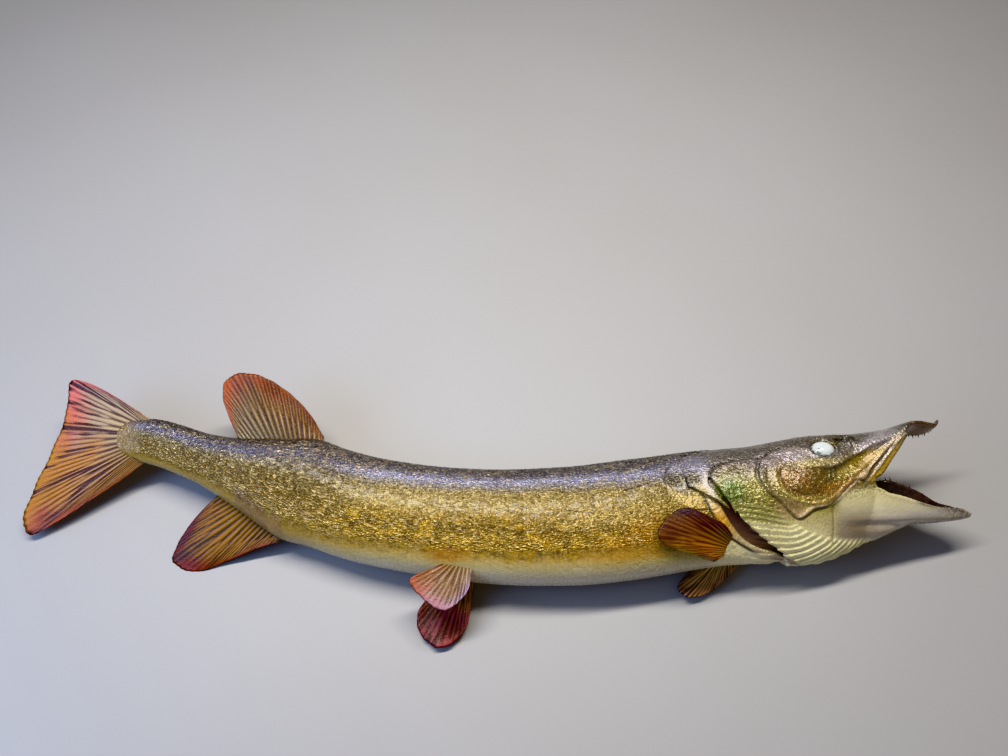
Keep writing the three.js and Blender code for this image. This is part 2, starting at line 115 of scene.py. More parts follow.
# ---------- body sections: s, height of the back, depth of the belly, half width ----------
TRUNK = [
    (-378, 5, 5, 1.2), (-375, 10.5, 10.5, 2.0), (-370, 15, 15, 3.0), (-362, 18.4, 18.4, 5.0),
    (-352, 20, 20, 7.8), (-343, 22, 22, 10.5), (-315, 23, 22.5, 13), (-290, 24, 24, 15.5),
    (-268, 28, 28, 19), (-245, 34, 34, 23), (-218, 42, 43, 27), (-192, 49, 49.5, 30),
    (-165, 48.5, 48.5, 32), (-120, 49.5, 49.5, 34.5), (-70, 50.5, 50.5, 36),
    (0, 53, 53, 38), (60, 54.5, 54.5, 39), (110, 55, 55, 39.5), (150, 54, 54.5, 39),
    (190, 52, 55, 37), (225, 48, 57, 33), (262, 44, 58, 27),
]
HEAD = [
    (168, 51, 55, 40), (190, 51, 58, 43), (212, 50, 60, 43), (235, 49.5, 61.5, 41.5),
    (258, 51, 62.5, 39.5), (280, 52, 62.5, 37), (300, 51, 58, 34), (318, 50, 51, 31),
    (330, 49.5, 47.6, 27),
]
CHAMBER = [(150, 30, 44, 27), (185, 34, 48, 31), (225, 34, 50, 30), (262, 28, 46, 24)]
TRUNK_FULLNESS = (2.15, 2.35)
HEAD_FULLNESS = (2.1, 1.75)
# Ovals between a top and an edge: s, top, edge, half width, tilt in degrees.
SNOUT = [
    (316, 50, 10, 25, 0), (328, 49.5, 9, 26, 0), (338, 49.5, 13, 26, 0),
    (348, 49.5, 24, 25, 0), (358, 51, 34, 22.5, 3), (366, 53, 42.5, 20, 10),
    (374, 53.5, 46, 17.5, 18), (382, 53, 46, 15, 24), (390, 51.5, 45, 12.5, 26),
    (397, 51, 45.5, 9.5, 26), (402, 51.5, 47.5, 6.5, 20), (406, 55.5, 52, 2.5, 10),
]
MOUTH = [
    (268, 4, -8, 6, 0), (300, 28, -12, 20, 0), (325, 37, -14, 25, 0),
    (345, 41, -16, 21.5, 0), (362, 44.5, -16, 17, 0), (372, 48.5, 20, 12, 0),
]
# The lower jaw: s, near lip, far lip, chin, floor between the lips, half width.
JAW = [
    (306, 1, 1, -46, -20, 25.5), (330, 2, 3, -48.5, -22, 28), (340, -4, 3, -45, -24, 27),
    (352, -8, 2, -41, -26, 25), (364, -13, 2, -38, -28, 22.5),
    (376, -18, -4, -37.5, -29, 19), (388, -22, -11, -38, -30, 15.5),
    (400, -24, -21, -38, -30, 12), (412, -26.5, -26, -38, -30, 8.5),
    (424, -31, -31, -36.5, -33, 3.5),
]
# How high the back and how deep the belly is anywhere, to place the markings.
LEVELS = [
    (-480, 40, 40), (-352, 22, 22), (-290, 24, 24), (-245, 34, 34), (-192, 49, 49.5),
    (0, 53, 53), (110, 55, 55), (190, 52, 56), (235, 50, 60), (280, 52, 61),
    (318, 50, 50), (350, 50, 42), (374, 54, 38), (424, 55, 38),
]
# The middle of the frame's own eye, the opening between the lids (s, h, and its two radii),
# and the middle of the glass lens.
EYE = (288, 36.5, 14.5)
EYE_OPENING = (290.0, 40.4, 10.2, 6.7)
EYE_LENS = (290.2, 39.0, 21.6)
EYE_RADIUS = 10.2
# The lens leans back and turns a little to the front, in degrees, and is flattened.
EYE_SLOPE = 41
EYE_TURN = 4
EYE_FLATTENING = (1, 0.86, 0.55)

# ---------- lines on the side of the head, in (s, h) ----------
COVER_EDGE = [
    (188, 26), (186.5, 20), (184.5, 6), (190, 1), (197, -5), (209, -15.5), (221, -27),
    (233, -38.5), (246, -50), (257, -58),
]
GIRDLE_EDGE = [
    (186, 2.5), (189, 0), (193, -3), (195, -8), (196.5, -13), (200, -20), (204.5, -27),
    (210, -33), (217, -38), (226, -42.5), (236, -46), (250, -55),
]
GIRDLE_BACK = [
    (179, 8), (180, 3), (182, -5), (184, -12), (188, -21), (193, -28), (202, -34.5),
    (210, -39.5), (219, -45), (231, -50.5), (244, -56),
]
GIRDLE_REAR = [(160, 39), (151, 31), (147, 20), (149, 9), (156, -1), (166, -6), (180, -7)]
COVER_TOP = [(188, 22), (190, 27), (196, 32), (205, 35.5), (217, 37), (226, 37.5), (234, 38)]
NAPE_LINE = [(233, 36.5), (240, 38.5), (246, 42.5), (254, 44)]
CHEEK_REAR = [
    (236, 36), (231, 27), (230, 18), (234, 8), (241, 0), (249, -11), (255, -17),
    (263, -15), (272, -10), (281, -8), (289, -4), (300, 4.5), (312, 11.5), (323, 7.5),
]
RIDGE_UNDER_EYE = [
    (258, 33), (266.5, 30), (275, 26.4), (283, 24.2), (291, 23.6), (299, 25), (306, 28),
    (314, 30.8), (322, 34.5), (330, 38.5), (343, 42), (356, 47),
]
# Painted and raised lines of the cheek and the upper jaw.
CHEEK_ARC = [
    (246, 30), (243.5, 23.7), (242.4, 17.5), (243.3, 10.8), (246.4, 6.2), (252, 0.7),
    (261.6, -3.1), (275, -5.5), (287, -2.5),
]
CHEEK_ARC_INNER = [
    (248, 22), (246, 15), (246.2, 9.6), (249, 4.7), (254, 1), (263, -0.2), (273.5, -1.6), (283, 2),
]
CHEEK_SHADE = [
    (252, 28), (249.2, 25), (248, 20), (249.4, 13.4), (254, 6.1), (263, 2.4), (274, 2.6), (283, 7),
]
CHEEK_HOLLOW = [(240, 30), (237.4, 24), (236.6, 16.6), (238, 8.3), (243, 0.5), (251, -7), (258, -11)]
JAW_EDGE = [
    (252.8, -17.5), (259, -14.6), (265.7, -10.2), (270, -8), (276.6, -8), (283.5, -7.4),
    (290, -4.5), (299, 2), (309, 8.8), (318, 15.4), (330.5, 24.6), (341, 33.2), (353.5, 41.6),
]
JAW_EDGE_INNER = [(262, -6), (268, -4.6), (277, -4.4), (284, -2.6), (292, 1.5), (302, 9), (313, 17)]
MAXILLA_FOLDS = [
    [(302, 14), (312, 18), (325, 25), (338, 34), (350, 42)],
    [(312, 9), (321, 15.5), (333, 27), (346, 37.5), (358, 45)],
    [(318, 7), (327, 13), (336, 22), (345, 31.5), (356, 41), (366, 48)],
]
MEMBRANE = [(322, 8), (329, 12), (337, 17.5), (344, 25), (350, 31), (357, 38), (364, 45)]
SNOUT_LIP = [(327, 36), (338, 40), (348, 43), (359, 47.6), (369, 51), (376, 53)]
NEAR_LIP = [
    (326, 4), (333, -0.5), (343, -5.7), (353.6, -10), (365, -14), (376, -18), (387, -21.5),
    (400, -24), (413, -27.5), (421, -31.5),
]
THROAT_FOLD = [(287.5, -8), (286.5, -17), (286.3, -30), (285.3, -43)]
JAW_LINE = [(286, -21), (300, -23), (320, -25), (345, -27), (370, -30), (395, -33), (415, -34)]
NOSTRIL = [(306, 46.0), (311, 46.8), (319, 46.4)]
PLEAT_CENTRE = (246.5, -14)
PLEAT_PITCH = (5.4, 3.9)


# ---------- interpolation and pose ----------
def hermite(t, start, start_slope, end, end_slope):
    """A cubic from start to end, t of the way along, with a slope at each end."""
    return (
        (2 * t**3 - 3 * t**2 + 1) * start + (t**3 - 2 * t**2 + t) * start_slope
        + (3 * t**2 - 2 * t**3) * end + (t**3 - t**2) * end_slope
    )


def along(table, s, column=1):
    """A smooth curve through one column of a table: cubic, slopes from the neighbours."""
    rows = np.array([(row[0], row[column]) for row in table], float)
    x, y = rows.T
    last = len(x) - 1
    before = np.maximum(np.arange(last + 1) - 1, 0)
    after = np.minimum(np.arange(last + 1) + 1, last)
    slope = (y[after] - y[before]) / (x[after] - x[before])
    s = np.asarray(s, float)
    i = np.clip(np.searchsorted(x, s, side="right") - 1, 0, last - 1)
    span = x[i + 1] - x[i]
    t = (s - x[i]) / span
    between = hermite(t, y[i], slope[i] * span, y[i + 1], slope[i + 1] * span)
    low = y[0] + (s - x[0]) * slope[0]
    high = y[last] + (s - x[last]) * slope[last]
    return np.where(t < 0, low, np.where(t > 1, high, between))


def unit(vectors):
    return vectors / np.maximum(np.linalg.norm(vectors, axis=-1, keepdims=True), 1e-9)


def spine(s):
    return np.stack([s, along(SPINE_Y, s), along(SPINE_Z, s)], axis=-1)


def bend_raw(points):
    """Straight (s, h, w) to the pose, in millimetres, before the frame's own shift."""
    s, h, w = np.asarray(points, float).T
    ahead = unit(spine(s + 0.5) - spine(s - 0.5))
    back = unit(np.stack([-ahead[:, 1], ahead[:, 0], 0 * s], axis=-1))
    flank = np.cross(ahead, back)
    roll = np.radians(along(ROLL, s))[:, None]
    turned_back = back * np.cos(roll) + flank * np.sin(roll)
    turned_flank = flank * np.cos(roll) - back * np.sin(roll)
    return spine(s) + turned_back * h[:, None] + turned_flank * w[:, None]


def frame_shift():
    """Where the frame puts the pose's own origin, found from the right eye's ball."""
    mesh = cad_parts["eye_right"].data
    points = np.empty(len(mesh.vertices) * 3)
    mesh.vertices.foreach_get("co", points)
    matrix = np.array(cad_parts["eye_right"].matrix_world)
    points = points.reshape(-1, 3) @ matrix[:3, :3].T + matrix[:3, 3]
    middle = np.unique(points.round(6), axis=0).mean(axis=0) / MM
    return middle - bend_raw([EYE])[0]


SHIFT = frame_shift() * np.array([1, 1, 0])


def bend(points, lowest=0.0):
    """Straight millimetres to the frame, in metres. Nothing goes below the lowest level."""
    placed = bend_raw(points) + SHIFT
    placed[:, 2] = np.maximum(placed[:, 2], lowest)
    return placed * MM


def ease(x, start, end):
    """0 before start, 1 after end, smooth between."""
    t = np.clip((x - start) / (end - start), 0, 1)
    return t * t * (3 - 2 * t)


def fade(x, start, end):
    """1 before start, 0 after end, smooth between."""
    return ease(-x, -end, -start)


def window(x, rise, full, wane, end):
    """1 between full and wane, 0 before rise and after end."""
    return ease(x, rise, full) * fade(x, wane, end)


def bell(x, width):
    """1 at 0, and next to nothing at twice the width."""
    return np.exp(-((x / width) ** 2))


def levels(s, h):
    """How high a point is: 1 on the back's edge, -1 on the belly's."""
    up, down = along(LEVELS, s, 1), along(LEVELS, s, 2)
    return np.where(h > 0, h / up, h / down)


# ---------- lines in the side view ----------
def smooth_line(points, each=6):
    """A line through the points with its corners rounded."""
    rows = np.array(points, float)
    steps = np.arange(len(rows))
    fine = np.linspace(0, len(rows) - 1, (len(rows) - 1) * each + 1)
    columns = [along(np.stack([steps, rows[:, k]], axis=1), fine) for k in (0, 1)]
    return np.stack(columns, axis=1)


# ---------- mesh helpers ----------
def new_object(name, bm):
    mesh = bpy.data.meshes.new(name)
    bm.to_mesh(mesh)
    bm.free()
    obj = bpy.data.objects.new(name, mesh)
    bpy.context.scene.collection.objects.link(obj)
    return obj


def drop(*objects):
    for obj in objects:
        mesh = obj.data
        bpy.data.objects.remove(obj)
        bpy.data.meshes.remove(mesh)


def read_points(mesh):
    points = np.empty(len(mesh.vertices) * 3)
    mesh.vertices.foreach_get("co", points)
    return points.reshape(-1, 3)


def read_normals(mesh):
    normals = np.empty(len(mesh.vertices) * 3)
    mesh.vertex_normals.foreach_get("vector", normals)
    return normals.reshape(-1, 3)


def write_points(mesh, points):
    mesh.vertices.foreach_set("co", np.ascontiguousarray(points, dtype=np.float32).ravel())
    mesh.update()


def write_attribute(mesh, name, values):
    """Keeps one value, or one vector, at each vertex."""
    vector = values.ndim == 2
    kind, key = ("FLOAT_VECTOR", "vector") if vector else ("FLOAT", "value")
    made = mesh.attributes.new(name, kind, "POINT")
    made.data.foreach_set(key, np.ascontiguousarray(values, dtype=np.float32).ravel())


def sheet_points(bm, at):
    """Moves a grid's vertices to at(u, v), where u and v run from 0 to 1."""
    bm.verts.ensure_lookup_table()
    flat = np.array([v.co[:2] for v in bm.verts]) * 0.5 + 0.5
    for vert, point in zip(bm.verts, at(flat[:, 0], flat[:, 1])):
        vert.co = point


def open_edges(bm):
    return [edge for edge in bm.edges if edge.is_boundary]


def slide(bm, parts, along_w):
    """Moves the vertices among some parts of a mesh."""
    verts = [part for part in parts if isinstance(part, bmesh.types.BMVert)]
    bmesh.ops.translate(bm, verts=verts, vec=(0, 0, along_w))


def tube(name, rings, sides, at):
    """A closed tube. at(u, v) gives the point u of the way along it and v round it."""
    bm = bmesh.new()
    bmesh.ops.create_grid(bm, x_segments=rings, y_segments=sides, size=1)
    sheet_points(bm, at)
    bmesh.ops.remove_doubles(bm, verts=bm.verts, dist=1e-3)
    bmesh.ops.holes_fill(bm, edges=open_edges(bm), sides=0)
    bmesh.ops.recalc_face_normals(bm, faces=bm.faces)
    return new_object(name, bm)


def oval(turn, up, down, half, full_up, full_down):
    """A point of a body section, turn radians round from the back towards the right flank."""
    c, d = np.cos(turn), np.sin(turn)
    power = np.where(c >= 0, 2 / full_up, 2 / full_down)
    h = np.sign(c) * np.abs(c) ** power * np.where(c >= 0, up, down)
    return h, np.sign(d) * np.abs(d) ** power * half


def body_point(table, fullness, s, turn, grow=0.0):
    up, down, half = (along(table, s, k) + grow for k in (1, 2, 3))
    h, w = oval(turn, up, down, half, *fullness)
    return np.stack([s, h, w], axis=-1)


def span_of(table, u):
    """The place along the body that is the share u of the way through a table."""
    return table[0][0] + (table[-1][0] - table[0][0]) * u


def body_tube(name, table, fullness, rings, sides, grow=0.0):
    def at(u, v):
        return body_point(table, fullness, span_of(table, u), 2 * np.pi * v, grow)

    return tube(name, rings, sides, at)


def oval_tube(name, table, fullness, rings, sides):
    def at(u, v):
        s = span_of(table, u)
        top, edge, half, tilt = (along(table, s, k) for k in (1, 2, 3, 4))
        h, w = oval(2 * np.pi * v, (top - edge) / 2, (top - edge) / 2, half, fullness, fullness)
        a = np.radians(tilt)
        turned_h = h * np.cos(a) + w * np.sin(a)
        turned_w = w * np.cos(a) - h * np.sin(a)
        return np.stack([s, (top + edge) / 2 + turned_h, turned_w], axis=-1)

    return tube(name, rings, sides, at)


def jaw_tube(name, rings):
    """The lower jaw: lips, outer walls and chin, with a trough between the lips."""
    def profile(near, far, chin, floor, half):
        wall = np.minimum(4, half * 0.3)
        return [
            (near, half - wall * 0.35), (near - 1, half), ((near + chin) / 2, half * 0.93),
            (chin + (near - chin) * 0.14, half * 0.6), (chin, 0 * half),
            (chin + (far - chin) * 0.14, -half * 0.6), ((far + chin) / 2, -half * 0.93),
            (far - 1, -half), (far, -half + wall * 0.35), (far - 1.5, -half + wall),
            ((far + floor) / 2 - 2, -half * 0.62), (floor, 0 * half),
            ((near + floor) / 2 - 2, half * 0.62), (near - 1.5, half - wall),
        ]

    def at(u, v):
        s = span_of(JAW, u)
        corners = np.array(profile(*(along(JAW, s, k) for k in (1, 2, 3, 4, 5))))
        count = len(corners)
        i = np.floor(v * count).astype(int)
        rows = np.arange(len(s))
        before, start, end, after = (corners[(i + k) % count, :, rows] for k in (-1, 0, 1, 2))
        point = hermite((v * count - i)[:, None], start, (end - before) / 2, end,
                        (after - start) / 2)
        return np.stack([s, point[:, 0], point[:, 1]], axis=-1)

    return tube(name, rings, 56, at)


def prism(name, outline, w0=-CUTTER_REACH, w1=CUTTER_REACH):
    """A straight-sided cutter with a side-view outline."""
    bm = bmesh.new()
    face = bmesh.ops.contextual_create(
        bm, geom=[bm.verts.new((s, h, w0)) for s, h in outline]
    )["faces"][0]
    slide(bm, bmesh.ops.extrude_face_region(bm, geom=[face])["geom"], w1 - w0)
    bmesh.ops.recalc_face_normals(bm, faces=bm.faces)
    return new_object(name, bm)


def apply_modifier(obj, kind, **values):
    """Adds a modifier with these values and applies it."""
    made = obj.modifiers.new(kind, kind)
    for key, value in values.items():
        setattr(made, key, value)
    graph = bpy.context.evaluated_depsgraph_get()
    mesh = bpy.data.meshes.new_from_object(obj.evaluated_get(graph))
    old = obj.data
    obj.modifiers.clear()
    obj.data = mesh
    mesh.name = obj.name
    bpy.data.meshes.remove(old)
    return obj


def combine(piece, other, operation):
    return apply_modifier(piece, "BOOLEAN", object=other, operation=operation, solver="EXACT")


def copy_of(obj, name):
    twin = bpy.data.objects.new(name, obj.data.copy())
    bpy.context.scene.collection.objects.link(twin)
    return twin


def join(name, objects):
    bm = bmesh.new()
    for obj in objects:
        bm.from_mesh(obj.data)
    drop(*objects)
    return new_object(name, bm)


def shade_smooth(obj):
    obj.data.polygons.foreach_set("use_smooth", [True] * len(obj.data.polygons))


def posed(obj, lowest=0.0):
    """Bends a straight piece into the pose."""
    write_points(obj.data, bend(read_points(obj.data), lowest))
    shade_smooth(obj)
    return obj


# ---------- the skin ----------
def side_depth(s, h, points):
    """Distance to a line, signed (positive on its left) and plain, and how far along, 0 to 1."""
    line = smooth_line(points)
    gap = np.full(s.shape, 1e9)
    side = np.ones(s.shape)
    where = np.zeros(s.shape)
    count = len(line) - 1
    for k in range(count):
        (s0, h0), (s1, h1) = line[k], line[k + 1]
        ds, dh = s1 - s0, h1 - h0
        t = np.clip(((s - s0) * ds + (h - h0) * dh) / (ds * ds + dh * dh), 0, 1)
        near = np.hypot(s - s0 - t * ds, h - h0 - t * dh)
        closer = near < gap
        gap = np.where(closer, near, gap)
        side = np.where(closer, np.sign(ds * (h - h0) - dh * (s - s0)), side)
        where = np.where(closer, (k + t) / count, where)
    return gap * side, gap, where


def pleat_ring(s, h):
    """The throat's pleats: level lines behind a centre, nested arcs in front of it."""
    ahead, below = s - PLEAT_CENTRE[0], PLEAT_CENTRE[1] - h
    level = below - 0.18 * ahead
    return np.where(ahead < 0, level, np.hypot(ahead / 1.3, below) * np.sign(below + 1e-6))


def cover_waves(s, ring):
    """The level lines over the gill cover's lower half, -1 to 1."""
    return np.sin(2 * np.pi * ring / COVER_WAVE + 1.4 * np.sin(s * 0.12))


def side_facing(points, normals):
    """How far each point faces out of the fish's side: 1 outwards, -1 inwards."""
    s, h, w = points.T
    outward = unit(np.stack([0 * s, h + 4, w], axis=1))
    return (normals * outward).sum(axis=1)


def outer_side(points, normals):
    """1 on the outside of the fish's sides, 0 inside the mouth and gills and on its edges."""
    return ease(side_facing(points, normals), 0.05, 0.45) * ease(np.abs(points[:, 2]), 2, 7)


def pleats(s, h):
    """Where the throat's pleats are, 0 to 1, and how far across its pleat each point is."""
    ring = pleat_ring(s, h)
    ahead = s - PLEAT_CENTRE[0]
    turned = np.clip((PLEAT_CENTRE[1] - h) / np.maximum(np.abs(ring), 1), 0, 1)
    limit = np.interp(ring, [14, 40, 66], [0.80, 0.62, 0.46])
    open_end = np.where(ahead > 0, ease(turned - limit, -0.05, 0.05), 1.0)
    there = ease(ring, 9, 11) * open_end * window(s, 208, 222, 322, 334)
    broad, fine = PLEAT_PITCH
    count = np.where(ring < 40, (ring - 40) / broad, (ring - 40) / fine)
    return there, count % 1.0


def girdle_band(s, h):
    """The shoulder girdle: depth past its front and back edges, how high it goes, two gaps."""
    front, gap = side_depth(s, h, GIRDLE_EDGE)[:2]
    back, rear_gap = side_depth(s, h, GIRDLE_BACK)[:2]
    return front, back, fade(h, 7, 12), gap, rear_gap


# Lines worked into the skin: the line, its lifts and its creases, which carry painted shade. Each
# of those is an amount in millimetres, how far to the line's left it lies, how broad it is, and
# where along the line it starts, is full, fades and ends.
WHOLE = (-2, -1, 2, 3)
MOST = (0, 0.15, 0.85, 1)
FOLD = (0, 0.2, 0.8, 1)
WORKED_LINES = [
    (NAPE_LINE, [(-1.0, 0, 0.9, WHOLE)], [(0.9, 0, 1.0, WHOLE)]),
    (CHEEK_ARC, [(0.9, 0, 1.3, MOST)], []),
    (CHEEK_ARC_INNER, [(0.5, 0, 0.9, MOST)], []),
    (CHEEK_SHADE, [(-0.8, 0, 1.6, MOST)], []),
    (CHEEK_HOLLOW, [(-0.9, 0, 2.0, MOST)], []),
    (JAW_EDGE, [(1.3, 0, 1.7, (0, 0.1, 0.85, 0.98))], [(0.45, -2.6, 0.8, (0.02, 0.1, 0.5, 0.6))]),
    (JAW_EDGE_INNER, [(0.8, 0, 1.3, FOLD)], []),
    *[(fold, [(1.0, 0, 1.3, FOLD)], [(0.45, -2.2, 0.8, FOLD)]) for fold in MAXILLA_FOLDS],
    (NOSTRIL, [(-2.8, 0, 1.35, WHOLE)], [(2.2, 0, 1.4, WHOLE)]),
    (JAW_LINE, [(0.6, 0, 2.4, (0.05, 0.35, 2, 3)), (-1.4, -6.5, 3.2, (0.1, 0.4, 0.5, 0.9))], []),
    (THROAT_FOLD, [(-0.9, 0, 0.9, (0, 0.1, 2, 3))], [(0.2, 0, 0.8, WHOLE)]),
    (COVER_EDGE, [(0.7, 1.2, 1.3, (0.2, 0.3, 2, 3))], []),
    (GIRDLE_REAR, [(-0.7, 0, 0.9, WHOLE), (0.5, 2.5, 2.2, WHOLE)], [(0.6, 0, 0.8, WHOLE)]),
]


def relief(points, normals):
    """How far each point of the straight skin moves out, and how much shade is painted into its
    creases and recesses.
    """
    s, h, w = points.T
    outer = outer_side(points, normals)
    push = np.zeros(len(s))
    dark = np.zeros(len(s))
    for line, lifts, creases in WORKED_LINES:
        depth, gap, where = side_depth(s, h, line)
        for total, rows in ((push, lifts), (dark, creases)):
            for amount, left, width, span in rows:
                total += outer * amount * bell(depth - left, width) * window(where, *span)

    # The gill cover's upper crease, deep in front and shallow behind, with painted shade in it.
    depth, gap, where = side_depth(s, h, COVER_TOP)
    crease = outer * ease(where, 0.0, 0.1) * (1 - 0.6 * ease(where, 0.45, 0.6))
    push -= crease * 1.3 * bell(gap, 1.0)
    dark += crease * bell(gap, 1.1)
    push += outer * 0.6 * bell(depth + 3.2, 2.4) * bell(where - 0.5, 0.5)

    # The cheek's plate stands proud of the gill cover, the throat and the jaw, with painted
    # shade in the groove under its edge.
    depth = side_depth(s, h, CHEEK_REAR)[0]
    behind = depth < 0.5
    plate = outer * fade(s, 318, 326) * fade(h, 33, 38)
    push += plate * 1.6 * ease(depth, -0.6, 0.9) * bell(np.maximum(depth, 0), 16)
    push -= plate * 0.8 * bell(depth + 1.2, 1.1)
    dark += plate * 0.5 * bell(depth + 0.9, 0.8) * (0.6 + 0.4 * np.sin(0.5 * s + 0.7 * h))
    push += outer * 2.6 * bell(np.hypot((s - 268) / 1.15, (h - 13) / 0.95), 13)

    # The ridge under the eye overhangs an olive recess, with painted shade just under the ridge.
    depth = side_depth(s, h, RIDGE_UNDER_EYE)[0]
    ledge = outer * window(s, 262, 282, 340, 362)
    push += ledge * 1.5 * ease(depth, -0.7, 0.6) * bell(np.maximum(depth, 0), 7)
    push -= ledge * 2.2 * bell(depth + 4.5, 4.5) * ease(-depth, 0, 2) * ease(s, 275, 300)
    dark += ledge * 0.6 * bell(depth + 0.8, 1.0) * ease(s, 275, 296)

    # The eye's socket, its lids and the brow over it, with painted shade in the socket round the
    # eye.
    rim = np.hypot((s - EYE_OPENING[0]) / EYE_OPENING[2], (h - EYE_OPENING[1]) / EYE_OPENING[3])
    socket = outer * ease(h, 22, 27)
    push += socket * (1.1 * bell(rim - 1.2, 0.16) - 4.5 * fade(rim, 0.86, 1.06))
    dark += socket * 1.3 * fade(rim, 0.96, 1.06)
    push += outer * 1.5 * bell(h - 49.6, 2.4) * window(s, 266, 280, 304, 318)

    # The nostril's raised rim.
    push += outer * 0.5 * bell(side_depth(s, h, NOSTRIL)[1] - 2.8, 1.0)

    # The throat's pleats, and the level lines over the gill cover's lower half.
    there, phase = pleats(s, h)
    push += there * outer * behind * 1.7 * (1 - phase) * ease(phase, 0, 0.16)
    ring = pleat_ring(s, h)
    cover = outer * window(s, 200, 212, 240, 252) * window(ring, -9, -3, 9, 12) * behind
    push += cover * 0.35 * cover_waves(s, ring)

    # The shoulder girdle: a rounded band, with the rim of the bare patch behind it as a groove
    # with painted shade in it.
    front, back, height, gap, rear_gap = girdle_band(s, h)
    across = np.clip(gap / np.maximum(gap + rear_gap, 1e-3), 0, 1)
    band = outer * fade(front, -0.8, 0.5) * ease(back, -1.2, 0.6) * height
    push += band * 2.2 * np.sqrt(np.clip(4 * across * (1 - across), 0, 1)) * fade(s, 228, 240)
    edge = outer * bell(rear_gap, 1.1) * fade(h, 6, 12) * fade(s, 212, 226)
    push -= 0.9 * edge
    dark += 1.0 * edge

    # Slight unevenness of the hand-finished skin.
    wave = np.sin(s * 0.11 + np.sign(w)) * np.sin(h * 0.17 + 2) + np.sin(s * 0.31 + h * 0.23)
    push += outer * 0.12 * wave
    rough = np.sin(s * 0.9 + 2 * np.sin(h * 0.5)) * np.sin(h * 1.1 + 2 * np.sin(s * 0.43))
    push += outer * 0.16 * rough * ease(h, -16, 0) * ease(s, 178, 190)
    return push, np.clip(dark, 0, 1.5)


# Painted strokes: line, half width, start and end of the stroke (0 to 1), strength, colour.
STROKES = [
    # The gill cover's pale rim is partly its own colour and partly a painted highlight on the edge.
    (COVER_EDGE, 0.9, 0.15, 1.0, 0.55, (206, 192, 132)),
    (CHEEK_HOLLOW, 2.6, 0.0, 1.0, 0.45, (132, 114, 70)),
    (CHEEK_REAR, 1.6, 0.05, 0.55, 0.45, (92, 76, 50)),
    (CHEEK_SHADE, 2.2, 0.0, 1.0, 0.6, (112, 74, 32)),
    (CHEEK_ARC, 1.1, 0.1, 1.0, 0.6, (212, 194, 112)),
    (CHEEK_ARC_INNER, 0.7, 0.1, 1.0, 0.5, (204, 180, 100)),
    (JAW_EDGE_INNER, 1.6, 0.0, 1.0, 0.5, (186, 140, 92)),
    # The pale strokes on the jaw's edge and the maxilla's folds are partly their own colour and
    # partly painted highlights on those ridges.
    (JAW_EDGE, 1.1, 0.0, 0.9, 0.7, (226, 200, 172)),
    (MAXILLA_FOLDS[0], 1.4, 0.1, 0.9, 0.6, (214, 186, 104)),
    (MAXILLA_FOLDS[1], 1.3, 0.0, 1.0, 0.7, (236, 208, 168)),
    (MAXILLA_FOLDS[2], 1.3, 0.0, 1.0, 0.8, (244, 226, 198)),
    (MEMBRANE, 2.4, 0.0, 1.0, 0.95, (226, 182, 66)),
    (SNOUT_LIP, 1.4, 0.0, 1.0, 0.6, (176, 160, 140)),
    # A painted shaded band along the lower jaw's side.
    (JAW_LINE, 3.0, 0.1, 0.9, 0.35, (132, 118, 104)),
    (NEAR_LIP, 2.0, 0.4, 1.0, 0.85, (74, 58, 42)),
    (THROAT_FOLD, 0.7, 0.0, 1.0, 0.5, (132, 122, 86)),
]


def painting(points, normals):
    """Hand-painted strokes on the head: a linear colour and how strongly it covers."""
    s, h = points.T[:2]
    outer = outer_side(points, normals)
    shade = np.zeros((len(s), 3))
    cover = np.zeros(len(s))

    def paint(mask, rgb):
        mask = np.clip(mask, 0, 1)
        kept = cover * (1 - mask)
        total = np.maximum(kept + mask, 1e-6)[:, None]
        shade[:] = (shade * kept[:, None] + np.array(colour(*rgb)[:3]) * mask[:, None]) / total
        cover[:] = kept + mask

    there, phase = pleats(s, h)
    depth = side_depth(s, h, CHEEK_REAR)[0]
    there = there * outer * (depth < 0.5) * ease(side_depth(s, h, COVER_EDGE)[0], 0, 1)
    paint(there * 0.95, (250, 242, 186))
    # Painted shade in the folds between the pleats.
    paint(there * 0.4 * bell(np.minimum(phase, 1 - phase), 0.11), (132, 120, 66))
    ring = pleat_ring(s, h)
    lines = outer * window(s, 206, 218, 240, 250) * (depth < 0) * window(ring, -9, -4, 9, 12)
    # Painted highlights along the crests of the gill cover's level lines.
    paint(lines * ease(cover_waves(s, ring), 0.4, 1) * 0.5, (214, 208, 152))

    for line, width, start, end, strength, rgb in STROKES:
        gap, where = side_depth(s, h, line)[1:]
        rise = 0.12 if start > 0 else 0.04
        fall = 0.12 if end < 1 else 0.04
        span = window(where, start, start + rise, end - fall, end)
        above_jaw = ease(h, -12, -9) if line is MEMBRANE else 1.0
        paint(outer * strength * span * above_jaw * fade(gap, width * 0.5, width * 1.25), rgb)

    # The shoulder's band: cream above, orange in the middle, mauve-cream below.
    front, back, height = girdle_band(s, h)[:3]
    band = outer * fade(front, -0.6, 0.6) * ease(back, -0.8, 0.6) * height
    paint(band * 0.95, (226, 206, 156))
    paint(band * 0.95 * bell(h + 16, 11) * fade(front, -3.5, 2), (226, 164, 48))
    paint(band * ease(s, 206, 226) * 0.8, (158, 138, 122))
    return shade, cover


def lip_thickening(points):
    """The lips' rounded edges."""
    s, h, w = points.T
    lip = np.where(w > 0, along(JAW, s, 1), along(JAW, s, 2))
    return window(s, 332, 342, 410, 422) * 0.6 * bell(h - lip + 1.5, 2.0) * ease(np.abs(w), 3, 6)


